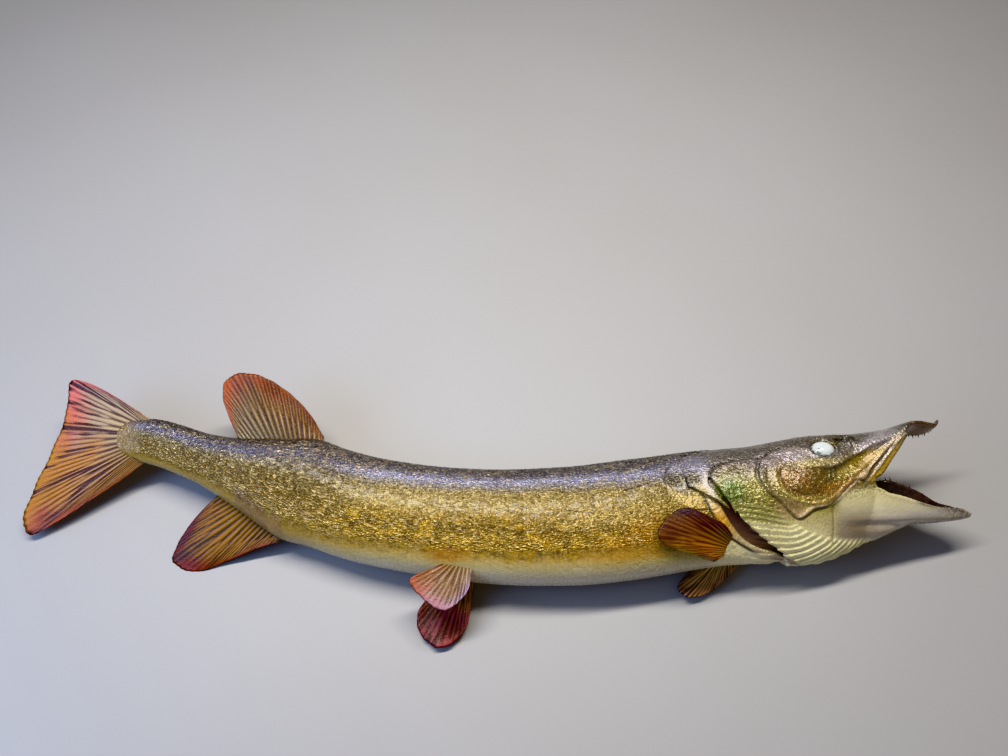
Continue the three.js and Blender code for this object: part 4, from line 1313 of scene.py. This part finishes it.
# Painted patches: centre (s, h), radii, turn in degrees, softness, strength, colour.
PATCHES = [
    ((-176, 14), (44, 24), -4, 0.8, 0.5, (84, 70, 38)),
    ((165, 23), (17, 14), 0, 0.4, 0.95, (44, 40, 32)),
    # A painted highlight low on the flank.
    ((88, -7), (52, 9), 0, 0.7, 0.6, (196, 172, 110)),
    # A pale strip at the top of the girdle, partly its own colour and partly a painted sheen.
    ((186, 17), (5, 15), 6, 0.4, 0.75, (184, 176, 178)),
    # A painted bluish reflection on the nape.
    ((172, 36), (20, 8), 0, 0.6, 0.6, (146, 144, 168)),
    ((210, 26), (24, 9), -6, 0.6, 0.8, (100, 90, 84)),
    ((214, 6), (22, 16), -30, 0.6, 0.8, (128, 130, 66)),
    ((203, 9), (12, 11), -20, 0.5, 0.9, (80, 108, 40)),
    ((226, 8), (8, 13), 10, 0.6, 0.7, (168, 158, 88)),
    ((224, -14), (24, 6), -22, 0.6, 0.6, (158, 158, 92)),
    # A painted bluish-white reflection on the top of the head.
    ((256, 37), (20, 6), 4, 0.5, 0.75, (196, 184, 194)),
    ((240, 33), (12, 6), 0, 0.6, 0.6, (136, 122, 132)),
    ((250, 20), (8, 12), 0, 0.6, 0.7, (164, 140, 92)),
    ((266, 16), (18, 12), -8, 0.5, 0.85, (124, 82, 22)),
    ((282, 17), (12, 10), 0, 0.5, 0.85, (116, 90, 28)),
    ((293, 15), (9, 9), 20, 0.5, 0.85, (88, 78, 26)),
    ((306, 20), (14, 7), 32, 0.5, 0.85, (148, 128, 50)),
    ((322, 31), (18, 4.5), 33, 0.4, 0.9, (162, 138, 30)),
    ((288, 6), (14, 5), 16, 0.5, 0.8, (166, 120, 46)),
    ((252, -9), (14, 8), -28, 0.5, 0.8, (180, 152, 112)),
    ((320, 20), (22, 5), 40, 0.5, 0.7, (222, 186, 132)),
    ((280, 29), (22, 3.5), 0, 0.5, 0.7, (196, 178, 120)),
    ((302, 44), (5, 3), 0, 0.5, 0.8, (92, 80, 30)),
    ((312, 34), (14, 4), 24, 0.5, 0.6, (120, 108, 60)),
    # A painted bluish-white reflection on the snout's top.
    ((338, 43), (22, 5), 18, 0.5, 0.8, (196, 188, 200)),
    ((-44, -37), (15, 5), 4, 0.8, 0.6, (196, 128, 30)),
    ((106, -34), (38, 9), 6, 0.7, 0.55, (202, 150, 52)),
    ((120, -20), (20, 9), 20, 0.6, 0.5, (186, 132, 40)),
    ((117, 18), (13, 0.9), 12, 0.3, 0.9, (54, 46, 44)),
    ((64, 0), (12, 0.7), -10, 0.3, 0.7, (84, 66, 36)),
    # Painted shade under the lower jaw's ridge.
    ((308, -31), (24, 12), -10, 0.9, 0.75, (136, 114, 82)),
    ((-374, 0), (15, 24), 0, 0.8, 0.8, (150, 112, 50)),
    ((-232, -28), (8, 16), 36, 0.4, 0.5, (118, 86, 76)),
    ((-214, -34), (6, 14), 36, 0.4, 0.5, (122, 90, 82)),
    ((-196, -38), (6, 12), 36, 0.4, 0.4, (132, 100, 88)),
]


def build_markings_group():
    """The fish's colours, the same on the skin and on the scales, with painted highlights,
    reflections and shade.
    """
    t, given, out = new_group(
        "pike_markings",
        [("Place", "vector"), ("Level", "value"), ("Inside", "value"), ("Crease", "value"),
         ("Paint", "colour"), ("Painted", "value")],
        [("Colour", "colour"), ("Metal", "value")])
    place = given["Place"]
    s, h = t.split(place)[:2]
    drift = t.times(t.less(0.5, t.noise(place, 0.03, 3.0)), 0.16)
    # From 0 on the belly's edge to 1 on the back's.
    band = t.math("MULTIPLY_ADD", t.math("ADD", given["Level"], drift), 0.5, 0.5)
    # The lighter gold about 0.55 is partly the fish's own gold and partly a painted highlight; the
    # lavender about 0.78 is a painted reflection of bluish light.
    flank = t.ramp(band, [
        (0.00, (214, 206, 188)), (0.04, (210, 198, 162)), (0.09, (196, 180, 124)),
        (0.14, (192, 163, 92)), (0.22, (168, 136, 50)), (0.34, (122, 97, 24)),
        (0.45, (154, 126, 54)), (0.55, (178, 156, 94)), (0.66, (158, 139, 90)),
        (0.72, (144, 139, 138)), (0.78, (166, 168, 204)), (0.85, (100, 98, 114)),
        (1.00, (62, 58, 60))])
    stretch = t.vector("MULTIPLY", place, (0.6, 1.0, 1.0))
    low = t.times(t.ease(band, 0.10, 0.18), t.ease(band, 0.52, 0.38))
    mottle = t.ease(t.noise(stretch, 0.13, 3.0, 0.6), 0.48, 0.62)
    flank = t.wash(flank, (194, 154, 38), mottle, low, 0.8)
    shade = t.ease(t.noise(stretch, 0.24, 4.0, 0.6), 0.50, 0.64)
    flank = t.wash(flank, (80, 60, 24), shade, low, 0.65)
    # Towards the tail the belly is gold-olive, and the upper side grey-blue from a painted bluish
    # reflection.
    rump = t.ramp(band, [
        (0.00, (168, 146, 90)), (0.15, (162, 134, 60)), (0.42, (116, 90, 14)),
        (0.60, (120, 101, 52)), (0.70, (124, 116, 108)), (0.80, (112, 112, 140)),
        (0.88, (100, 97, 110)), (1.00, (76, 72, 74))])
    flank = t.mix(t.ease(s, -125.0, -195.0), flank, rump)
    # The head: slate above, cream below, and greyer on the lower jaw.
    head = t.ramp(band, [
        (0.00, (238, 228, 184)), (0.25, (236, 226, 172)), (0.40, (172, 160, 94)),
        (0.50, (150, 136, 68)), (0.62, (138, 122, 70)), (0.76, (130, 123, 116)),
        (0.86, (124, 118, 120)), (0.93, (102, 98, 98)), (1.00, (86, 82, 80))])
    jaw = t.ramp(t.ease(h, -52.0, 4.0), [
        (0.0, (186, 174, 148)), (0.28, (200, 192, 176)), (0.44, (194, 188, 179)),
        (0.60, (200, 193, 166)), (1.0, (212, 202, 150))])
    in_jaw = t.times(t.ease(s, 286.0, 296.0), t.ease(h, 8.0, 0.0))
    head = t.mix(in_jaw, head, jaw)
    front = t.ease(t.math("MULTIPLY_ADD", h, -0.1, s), 176.0, 196.0)
    shown = t.mix(front, flank, head)
    for centre, size, turn, soft, strength, rgb in PATCHES:
        mask = t.group("side_patch", Place=place, Centre=(*centre, 0.0), Size=(*size, 1.0),
                       Turn=math.radians(turn), Softness=soft)["Mask"]
        shown = t.wash(shown, rgb, mask, strength)
    # Brown-olive stippling over the upper half of the head.
    stipple = t.ease(t.noise(place, 0.5, 4.0, 0.7), 0.48, 0.57)
    upper = t.times(front, t.ease(band, 0.40, 0.52))
    shown = t.wash(shown, (64, 50, 30), stipple, upper, 0.65)
    # The snout's tip and the upper jaw's underside are brown, the chin's tip dark.
    tip = t.times(t.ease(s, 366.0, 380.0), t.ease(h, 20.0, 30.0))
    shown = t.wash(shown, (92, 66, 44), tip, 0.85)
    chin = t.times(t.ease(s, 368.0, 412.0), t.ease(h, 6.0, -8.0))
    chin = t.times(chin, t.ease(t.noise(place, 0.4, 4.0, 0.6), 0.36, 0.56, 0.35, 1.0))
    shown = t.wash(shown, (90, 80, 68), chin, 0.75)
    shown = t.mix(given["Painted"], shown, given["Paint"])
    # Fine flecks over everything, then painted shade in the creases, and the inside of the mouth and
    # gills.
    fleck = t.noise(place, 0.8, 3.0, 0.65)
    strength = t.math("SUBTRACT", t.ease(band, 0.10, 0.2, 0.35, 1.0),
                      t.times(t.times(in_jaw, front), 0.8), clamp=True)
    shown = t.wash(shown, (56, 44, 28), t.ease(fleck, 0.46, 0.34, 0.0, 0.5), strength)
    shown = t.wash(shown, (246, 234, 190), t.ease(fleck, 0.54, 0.68, 0.0, 0.45), strength)
    crease = t.math("MULTIPLY", given["Crease"], 0.95, clamp=True)
    shown = t.wash(shown, (36, 28, 22), crease)
    lining = t.mix(t.ease(t.noise(place, 0.2, 4.0), 0.4, 0.65), colour(34, 25, 26),
                   colour(61, 44, 42))
    lining = t.wash(lining, (130, 94, 64), t.ease(h, 36.0, 46.0))
    gill = t.mix(t.ease(h, -10.0, -40.0), colour(84, 60, 56), colour(124, 100, 92))
    lining = t.mix(t.ease(s, 280.0, 268.0), lining, gill)
    t.put(out["Colour"], t.mix(given["Inside"], shown, lining))
    # The belly, the mouth, the lower jaw and the throat have no metal in their paint.
    metal = t.times(t.ease(band, 0.10, 0.24), t.less(given["Inside"]))
    metal = t.times(metal, t.less(t.times(in_jaw, 0.9)))
    throat = t.times(t.ease(s, 228.0, 256.0), t.ease(h, -4.0, -16.0))
    t.put(out["Metal"], t.times(metal, t.less(t.times(throat, 0.85))))


def build_grain_group():
    """The lacquered surface: fine pits, orange peel and flakes of mica that catch light, and a mask
    for the glints painted on some flakes.
    """
    t, given, out = new_group(
        "lacquer_grain",
        [("Place", "vector"), ("Fine", "value", 1.0), ("Coarse", "value", 1.0),
         ("Flakes", "value", 1.0)],
        [("Height", "value"), ("Rough", "value"), ("Spark", "value")])
    stretch = t.vector("MULTIPLY", given["Place"], (0.42, 1.0, 1.0))
    fine = t.times(t.noise(stretch, 1.1, 3.0, 0.65), given["Fine"])
    coarse = t.times(t.noise(given["Place"], 0.3, 2.0), given["Coarse"])
    cell = t.node("ShaderNodeTexVoronoi", feature="F1")
    cell.inputs["Scale"].default_value = 0.75
    t.put(cell.inputs["Vector"], stretch)
    flake = t.times(cell.outputs["Distance"], given["Flakes"])
    t.put(out["Height"], t.math("ADD", t.math("ADD", fine, coarse), flake))
    t.put(out["Rough"], t.ease(t.noise(given["Place"], 0.5, 3.0), 0.3, 0.7, 0.2, 0.38))
    pick = t.split(cell.outputs["Color"])[0]
    t.put(out["Spark"], t.times(t.ease(pick, 0.72, 0.95), given["Flakes"]))


# Where a fin's colours lie: from the root to the rim, along its front and its rear edge.
FIN_SHADES = [f"{edge} {part}" for edge in ("Front", "Rear") for part in ("root", "middle", "rim")]


def build_fin_group():
    """A fin's colours, from its root to its rim, with dark streaks along the rays and painted
    highlights on their crests.
    """
    t, given, out = new_group(
        "fin_rays",
        [("Grid", "vector"), ("Rays", "value", 12.0), ("Streaks", "value", 0.8),
         ("Warmth", "value", 0.0), ("Seed", "value"),
         *[(title, "colour") for title in (*FIN_SHADES, "Heart", "Streak", "Shine")]],
        [("Colour", "colour")])
    u, v, ridge = t.split(given["Grid"])
    across = t.times(u, given["Rays"])
    cloud = t.noise(t.join(t.times(u, 3.0), t.times(v, 1.4), given["Seed"]), 1.6, 3.0)
    shift = t.times(t.less(0.5, cloud), 0.6)
    out_v = t.math("ADD", v, shift)
    out_u = t.math("ADD", u, shift)
    ends = []
    for edge in ("Front", "Rear"):
        inner = t.mix(t.ease(out_v, 0.05, 0.5), given[f"{edge} root"], given[f"{edge} middle"])
        ends.append(t.mix(t.ease(out_v, 0.55, 0.95), inner, given[f"{edge} rim"]))
    shown = t.mix(t.ease(out_u, 0.2, 0.8), *ends)
    heart = t.times(t.ease(out_u, 0.3, 0.46), t.ease(out_u, 0.72, 0.56))
    heart = t.times(heart, t.ease(out_v, 0.3, 0.7))
    shown = t.mix(t.times(heart, given["Warmth"]), shown, given["Heart"])
    # Dark streaks that start and stop along the gaps between the rays.
    lines = t.noise(t.join(across, t.times(v, 1.3), given["Seed"]), 1.15, 2.0, 0.7)
    streak = t.times(t.ease(lines, 0.49, 0.57), t.ease(v, 0.08, 0.4, 0.3, 1.0))
    streak = t.times(streak, t.ease(ridge, 1.0, 0.35, 0.25, 1.0))
    streak = t.math("MULTIPLY", streak, given["Streaks"], clamp=True)
    shown = t.mix(streak, shown, given["Streak"])
    valley = t.times(t.ease(ridge, 0.4, 0.02), t.ease(v, 0.99, 0.8, 0.0, 1.0))
    shown = t.mix(t.times(valley, 0.85), shown, given["Streak"])
    # The rays' crests carry painted highlights, in hairlines.
    hair = t.noise(t.join(t.times(across, 9.0), t.times(v, 2.0)), 1.0, 2.0)
    crest_highlight = t.times(t.ease(ridge, 0.6, 0.95), t.ease(v, 0.95, 0.2, 0.2, 0.7))
    crest_highlight = t.times(crest_highlight, t.ease(hair, 0.42, 0.58, 0.4, 1.0))
    crest_highlight = t.times(crest_highlight, t.ease(v, 0.0, 0.35, 0.25, 0.9))
    t.put(out["Colour"], t.mix(crest_highlight, shown, given["Shine"]))


# ---------- materials ----------
def new_material(name, **constants):
    """A material with a Principled shader whose plain sockets are set here."""
    material = bpy.data.materials.new(name)
    material.use_nodes = True
    shader = material.node_tree.nodes["Principled BSDF"]
    for key, value in constants.items():
        shader.inputs[key.replace("_", " ")].default_value = value
    return material, Tree(material.node_tree), shader


def connect(t, shader, **values):
    """Links colours and values that vary over the surface to the shader."""
    for key, value in values.items():
        t.put(shader.inputs[key.replace("_", " ")], value)


def bump(t, shader, height, strength, distance):
    made = t.node("ShaderNodeBump")
    made.inputs["Strength"].default_value = strength
    made.inputs["Distance"].default_value = distance
    t.put(made.inputs["Height"], height)
    t.put(shader.inputs["Normal"], made.outputs[0])


def skin_material():
    material, t, shader = new_material(
        "lacquered_skin", Coat_Weight=0.25, Coat_Roughness=0.15, Specular_IOR_Level=0.6)
    place = t.attribute("fish")
    level, inside, crease = t.split(t.attribute("shape"))
    marks = t.group("pike_markings", Place=place, Level=level, Inside=inside, Crease=crease,
                    Paint=t.attribute("paint"), Painted=t.attribute("painted", "Fac"))
    metal = marks["Metal"]
    grain = t.group("lacquer_grain", Place=place, Fine=0.32, Coarse=1.2,
                    Flakes=t.times(metal, 0.3))
    # Painted glints on some of the flakes.
    shown = t.wash(marks["Colour"], (236, 222, 184), grain["Spark"], 0.5)
    connect(t, shader, Base_Color=shown, Metallic=t.times(metal, 0.45), Roughness=grain["Rough"])
    fade_in = t.math("MULTIPLY_ADD", metal, 0.8, 0.2)
    bump(t, shader, t.times(grain["Height"], fade_in), 0.8, 0.0013)
    return material


def scale_material():
    material, t, shader = new_material(
        "scale_lacquer", Coat_Weight=0.14, Coat_Roughness=0.15, Specular_IOR_Level=0.45)
    place = t.attribute("fish")
    level, length, chance = t.split(t.attribute("shape"))
    marks = t.group("pike_markings", Place=place, Level=level, Inside=0.0, Crease=0.0,
                    Painted=0.0)
    metal = marks["Metal"]
    grain = t.group("lacquer_grain", Place=place, Fine=0.9, Coarse=0.4, Flakes=metal)
    # Each scale has its own tone, and painted shade darkens it towards its root, where the scale in
    # front overlaps it.
    lively = t.math("MULTIPLY_ADD", metal, 0.8, 0.2)
    dim = t.times(t.ease(chance, 0.0, 1.0, 0.0, 0.35), lively)
    shade = t.mix(dim, marks["Colour"], colour(96, 78, 48), "MULTIPLY")
    shade = t.wash(shade, (66, 52, 32), t.ease(length, 0.65, 0.38, 0.0, 0.35), lively)
    # Painted glints on some of the flakes.
    shade = t.wash(shade, (240, 214, 150), grain["Spark"], 0.3)
    connect(t, shader, Base_Color=shade, Metallic=t.times(metal, 0.55), Roughness=grain["Rough"])
    bump(t, shader, t.times(grain["Height"], lively), 0.85, 0.0009)
    return material


def fin_material(name, fin, seed):
    material, t, shader = new_material(
        name, Coat_Weight=0.1, Coat_Roughness=0.14, Specular_IOR_Level=0.3)
    shades = dict(zip(FIN_SHADES, [colour(*c) for c in fin["front"] + fin["rear"]]))
    heart = fin.get("heart")
    made = t.group("fin_rays", Grid=t.attribute("grid"), Rays=float(fin["rays"]),
                   Streaks=fin["streaks"], Seed=float(seed), Streak=colour(*fin["streak"]),
                   Warmth=1.0 if heart else 0.0, Heart=colour(*(heart or fin["streak"])),
                   Shine=colour(*fin["highlight"]), **shades)
    grain = t.group("lacquer_grain", Place=t.attribute("fish"), Fine=0.8, Coarse=0.5,
                    Flakes=0.35)
    connect(t, shader, Base_Color=made["Colour"], Roughness=grain["Rough"])
    bump(t, shader, grain["Height"], 0.6, 0.0008)
    return material


def eye_material():
    """Clouded glass: pearly arcs inside a dark rim, with a small hook-shaped shadow."""
    material, t, shader = new_material(
        "eye_glass", Coat_Weight=1.0, Coat_Roughness=0.02, Roughness=0.15, Coat_IOR=1.6)
    x, y, across = t.split(t.attribute("iris"))
    off = t.vector("LENGTH", t.join(t.less(0.12, x), t.math("ADD", y, 0.1)))
    rings = t.math("SINE", t.times(off, 34.0))
    swirl = t.noise(t.join(t.times(x, 1.4), t.times(y, 2.6)), 1.8, 3.0)
    base = t.ramp(across, [
        (0.0, (206, 218, 222)), (0.4, (226, 234, 236)), (0.7, (208, 218, 216)),
        (0.82, (196, 202, 190)), (0.9, (120, 118, 100)), (0.95, (44, 38, 30)),
        (1.0, (26, 22, 18))])
    shown = t.wash(base, (148, 168, 176), t.ease(rings, 0.0, 1.0, 0.0, 0.5))
    shown = t.wash(shown, (236, 244, 246), t.ease(swirl, 0.45, 0.65, 0.0, 0.4))
    bow = t.vector("LENGTH", t.join(t.math("ADD", x, 0.42), t.math("ADD", y, 0.42)))
    hook = t.math("ABSOLUTE", t.less(0.24, bow))
    shown = t.wash(shown, (64, 66, 62), t.ease(hook, 0.07, 0.03), t.ease(x, -0.3, -0.45, 0.0, 0.85))
    connect(t, shader, Base_Color=shown)
    return material


def tooth_material():
    material, t, shader = new_material("tooth_enamel", Coat_Weight=0.6, Coat_Roughness=0.1)
    where = t.node("ShaderNodeTexCoord").outputs["Object"]
    shade = t.ramp(t.noise(where, 160.0, 3.0), [
        (0.3, (58, 44, 38)), (0.5, (92, 74, 60)), (0.75, (146, 126, 102))])
    rough = t.ease(t.noise(where, 300.0), 0.3, 0.7, 0.2, 0.4)
    connect(t, shader, Base_Color=shade, Roughness=rough)
    return material


def floor_material(shade):
    material, t, shader = new_material("pale_counter", Roughness=0.55)
    where = t.node("ShaderNodeTexCoord").outputs["Object"]
    speck = t.ease(t.noise(where, 700.0, 2.0), 0.62, 0.74, 0.0, 0.16)
    soft = t.ease(t.noise(where, 3.0, 3.0), 0.3, 0.7, 0.0, 0.12)
    shown = t.mix(soft, (*shade, 1.0), colour(150, 142, 130))
    connect(t, shader, Base_Color=t.wash(shown, (110, 104, 94), speck))
    return material


# ---------- settings, operators and panel ----------
class MountSettings(bpy.types.PropertyGroup):
    """What can be changed about the mount."""

    detail: bpy.props.FloatProperty(
        name="Skin detail", description="Voxel size the skin is worked at, in millimetres",
        default=1.0, min=0.7, max=3.0)
    skin_faces: bpy.props.IntProperty(
        name="Skin triangles", description="The most triangles that the skin keeps",
        default=195000, min=20000, max=199000)
    scale_pitch: bpy.props.FloatProperty(
        name="Scale pitch", description="Distance between rows of scales, in millimetres",
        default=3.1, min=2.5, max=8.0)
    scale_lift: bpy.props.FloatProperty(
        name="Scale lift", description="How far a scale's free edge stands up, in millimetres",
        default=0.38, min=0.2, max=2.0)
    floor_colour: bpy.props.FloatVectorProperty(
        name="Counter colour", description="Colour of the plain floor", subtype="COLOR",
        default=colour(167, 167, 170)[:3], min=0.0, max=1.0)
    key_power: bpy.props.FloatProperty(
        name="Key light", description="Power of the large soft light", default=22.0, min=0.0,
        unit="POWER")
    window_power: bpy.props.FloatProperty(
        name="Window light", description="Power of the cool light from the tail's side",
        default=9.0, min=0.0, unit="POWER")
    fill_strength: bpy.props.FloatProperty(
        name="Room light", description="Strength of the even light of the room", default=0.19,
        min=0.0)


def settings():
    return bpy.context.scene.pike_mount


def finish_piece(obj, material, slot, *nodes):
    """Gives a piece its material, its body and the nodes that it stands for. The slot is not used.
    """
    obj.data.materials.clear()
    obj.data.materials.append(material)
    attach(obj, "root")
    if nodes:
        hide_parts(*nodes)


SKIN_NODES = [
    "tail_stalk", "trunk_rear", "trunk_middle", "trunk_front", "head_upper", "lower_jaw",
    "gill_chamber", "gill_cover_right", "gill_cover_left", "cheek_right", "cheek_left",
    "throat_pleats_right", "throat_pleats_left", "maxilla_right", "maxilla_left",
]


class PIKE_OT_groups(bpy.types.Operator):
    """Builds the shared node groups"""

    bl_idname = "pike.groups"
    bl_label = "Shared node groups"

    def execute(self, context):
        build_patch_group()
        build_markings_group()
        build_grain_group()
        build_fin_group()
        return {"FINISHED"}


class PIKE_OT_skin(bpy.types.Operator):
    """Builds the one skin of the body and head"""

    bl_idname = "pike.skin"
    bl_label = "Skin"

    def execute(self, context):
        skin = make_skin(settings().detail, settings().skin_faces)
        finish_piece(skin, skin_material(), "flank_skin", *SKIN_NODES)
        return {"FINISHED"}


class PIKE_OT_scales(bpy.types.Operator):
    """Lays the scales over the skin"""

    bl_idname = "pike.scales"
    bl_label = "Scales"

    def execute(self, context):
        material = scale_material()
        for piece in make_scales(settings().scale_pitch, settings().scale_lift, 3):
            finish_piece(piece, material, "flank_skin")
        return {"FINISHED"}


class PIKE_OT_fins(bpy.types.Operator):
    """Builds the seven fins"""

    bl_idname = "pike.fins"
    bl_label = "Fins"

    def execute(self, context):
        for seed, (node, fin) in enumerate(FINS.items()):
            piece = make_fin(f"{node}_rays", fin)
            finish_piece(piece, fin_material(f"{node}_skin", fin, seed), "fin_skin", node)
        return {"FINISHED"}


class PIKE_OT_eyes(bpy.types.Operator):
    """Sets the two glass eyes"""

    bl_idname = "pike.eyes"
    bl_label = "Eyes"

    def execute(self, context):
        material = eye_material()
        for word, sign in (("right", 1), ("left", -1)):
            finish_piece(make_eye(f"eyeball_{word}", sign), material, "eye_glass", f"eye_{word}")
        return {"FINISHED"}


class PIKE_OT_teeth(bpy.types.Operator):
    """Sets the small teeth on the jaws"""

    bl_idname = "pike.teeth"
    bl_label = "Teeth"

    def execute(self, context):
        finish_piece(make_teeth("teeth"), tooth_material(), "jaw_skin")
        return {"FINISHED"}


def add_light(name, power, size, location, target, shade):
    light = bpy.data.lights.new(name, "AREA")
    light.shape = "RECTANGLE"
    light.size, light.size_y = size
    light.energy = power
    light.color = shade
    obj = bpy.data.objects.new(name, light)
    obj.location = location
    obj.rotation_euler = (Vector(target) - Vector(location)).to_track_quat("-Z", "Y").to_euler()
    bpy.context.scene.collection.objects.link(obj)


class PIKE_OT_stage(bpy.types.Operator):
    """Sets the floor, the lights and the camera"""

    bl_idname = "pike.stage"
    bl_label = "Stage"

    def execute(self, context):
        bm = bmesh.new()
        bmesh.ops.create_grid(bm, x_segments=2, y_segments=2, size=FLOOR_HALF)
        floor = new_object("floor", bm)
        floor.data.materials.append(floor_material(settings().floor_colour))
        add_light("key", settings().key_power, **KEY_LIGHT)
        add_light("window", settings().window_power, **WINDOW_LIGHT)
        world = bpy.data.worlds.new("room")
        world.use_nodes = True
        back = world.node_tree.nodes["Background"]
        back.inputs["Color"].default_value = ROOM_SHADE
        back.inputs["Strength"].default_value = settings().fill_strength
        context.scene.world = world
        context.scene.view_settings.view_transform = "Khronos PBR Neutral"
        lens = bpy.data.cameras.new("camera")
        lens.sensor_width = SENSOR_WIDTH
        lens.lens = SENSOR_WIDTH * CAMERA_FOCUS / IMAGE_WIDTH
        camera = bpy.data.objects.new("camera", lens)
        camera.location = (Vector(CAMERA_PLACE) + Vector(SHIFT)) * MM
        camera.rotation_euler = (math.radians(90 - CAMERA_ELEVATION), 0, 0)
        context.scene.collection.objects.link(camera)
        context.scene.camera = camera
        return {"FINISHED"}


STEPS = ["groups", "skin", "scales", "fins", "eyes", "teeth", "stage"]


class PIKE_PT_panel(bpy.types.Panel):
    """The mount's settings and steps"""

    bl_idname = "PIKE_PT_panel"
    bl_label = "Mounted pike"
    bl_space_type = "VIEW_3D"
    bl_region_type = "UI"
    bl_category = "Pike"

    def draw(self, context):
        for name in MountSettings.__annotations__:
            self.layout.prop(context.scene.pike_mount, name)
        for step in STEPS:
            self.layout.operator(f"pike.{step}")


CLASSES = [
    MountSettings, PIKE_OT_groups, PIKE_OT_skin, PIKE_OT_scales, PIKE_OT_fins, PIKE_OT_eyes,
    PIKE_OT_teeth, PIKE_OT_stage, PIKE_PT_panel,
]


def register():
    for kind in CLASSES:
        bpy.utils.register_class(kind)
    bpy.types.Scene.pike_mount = bpy.props.PointerProperty(type=MountSettings)


def unregister():
    del bpy.types.Scene.pike_mount
    for kind in reversed(CLASSES):
        bpy.utils.unregister_class(kind)


def main():
    register()
    for step in STEPS:
        getattr(bpy.ops.pike, step)()


if __name__ == "__main__":
    main()
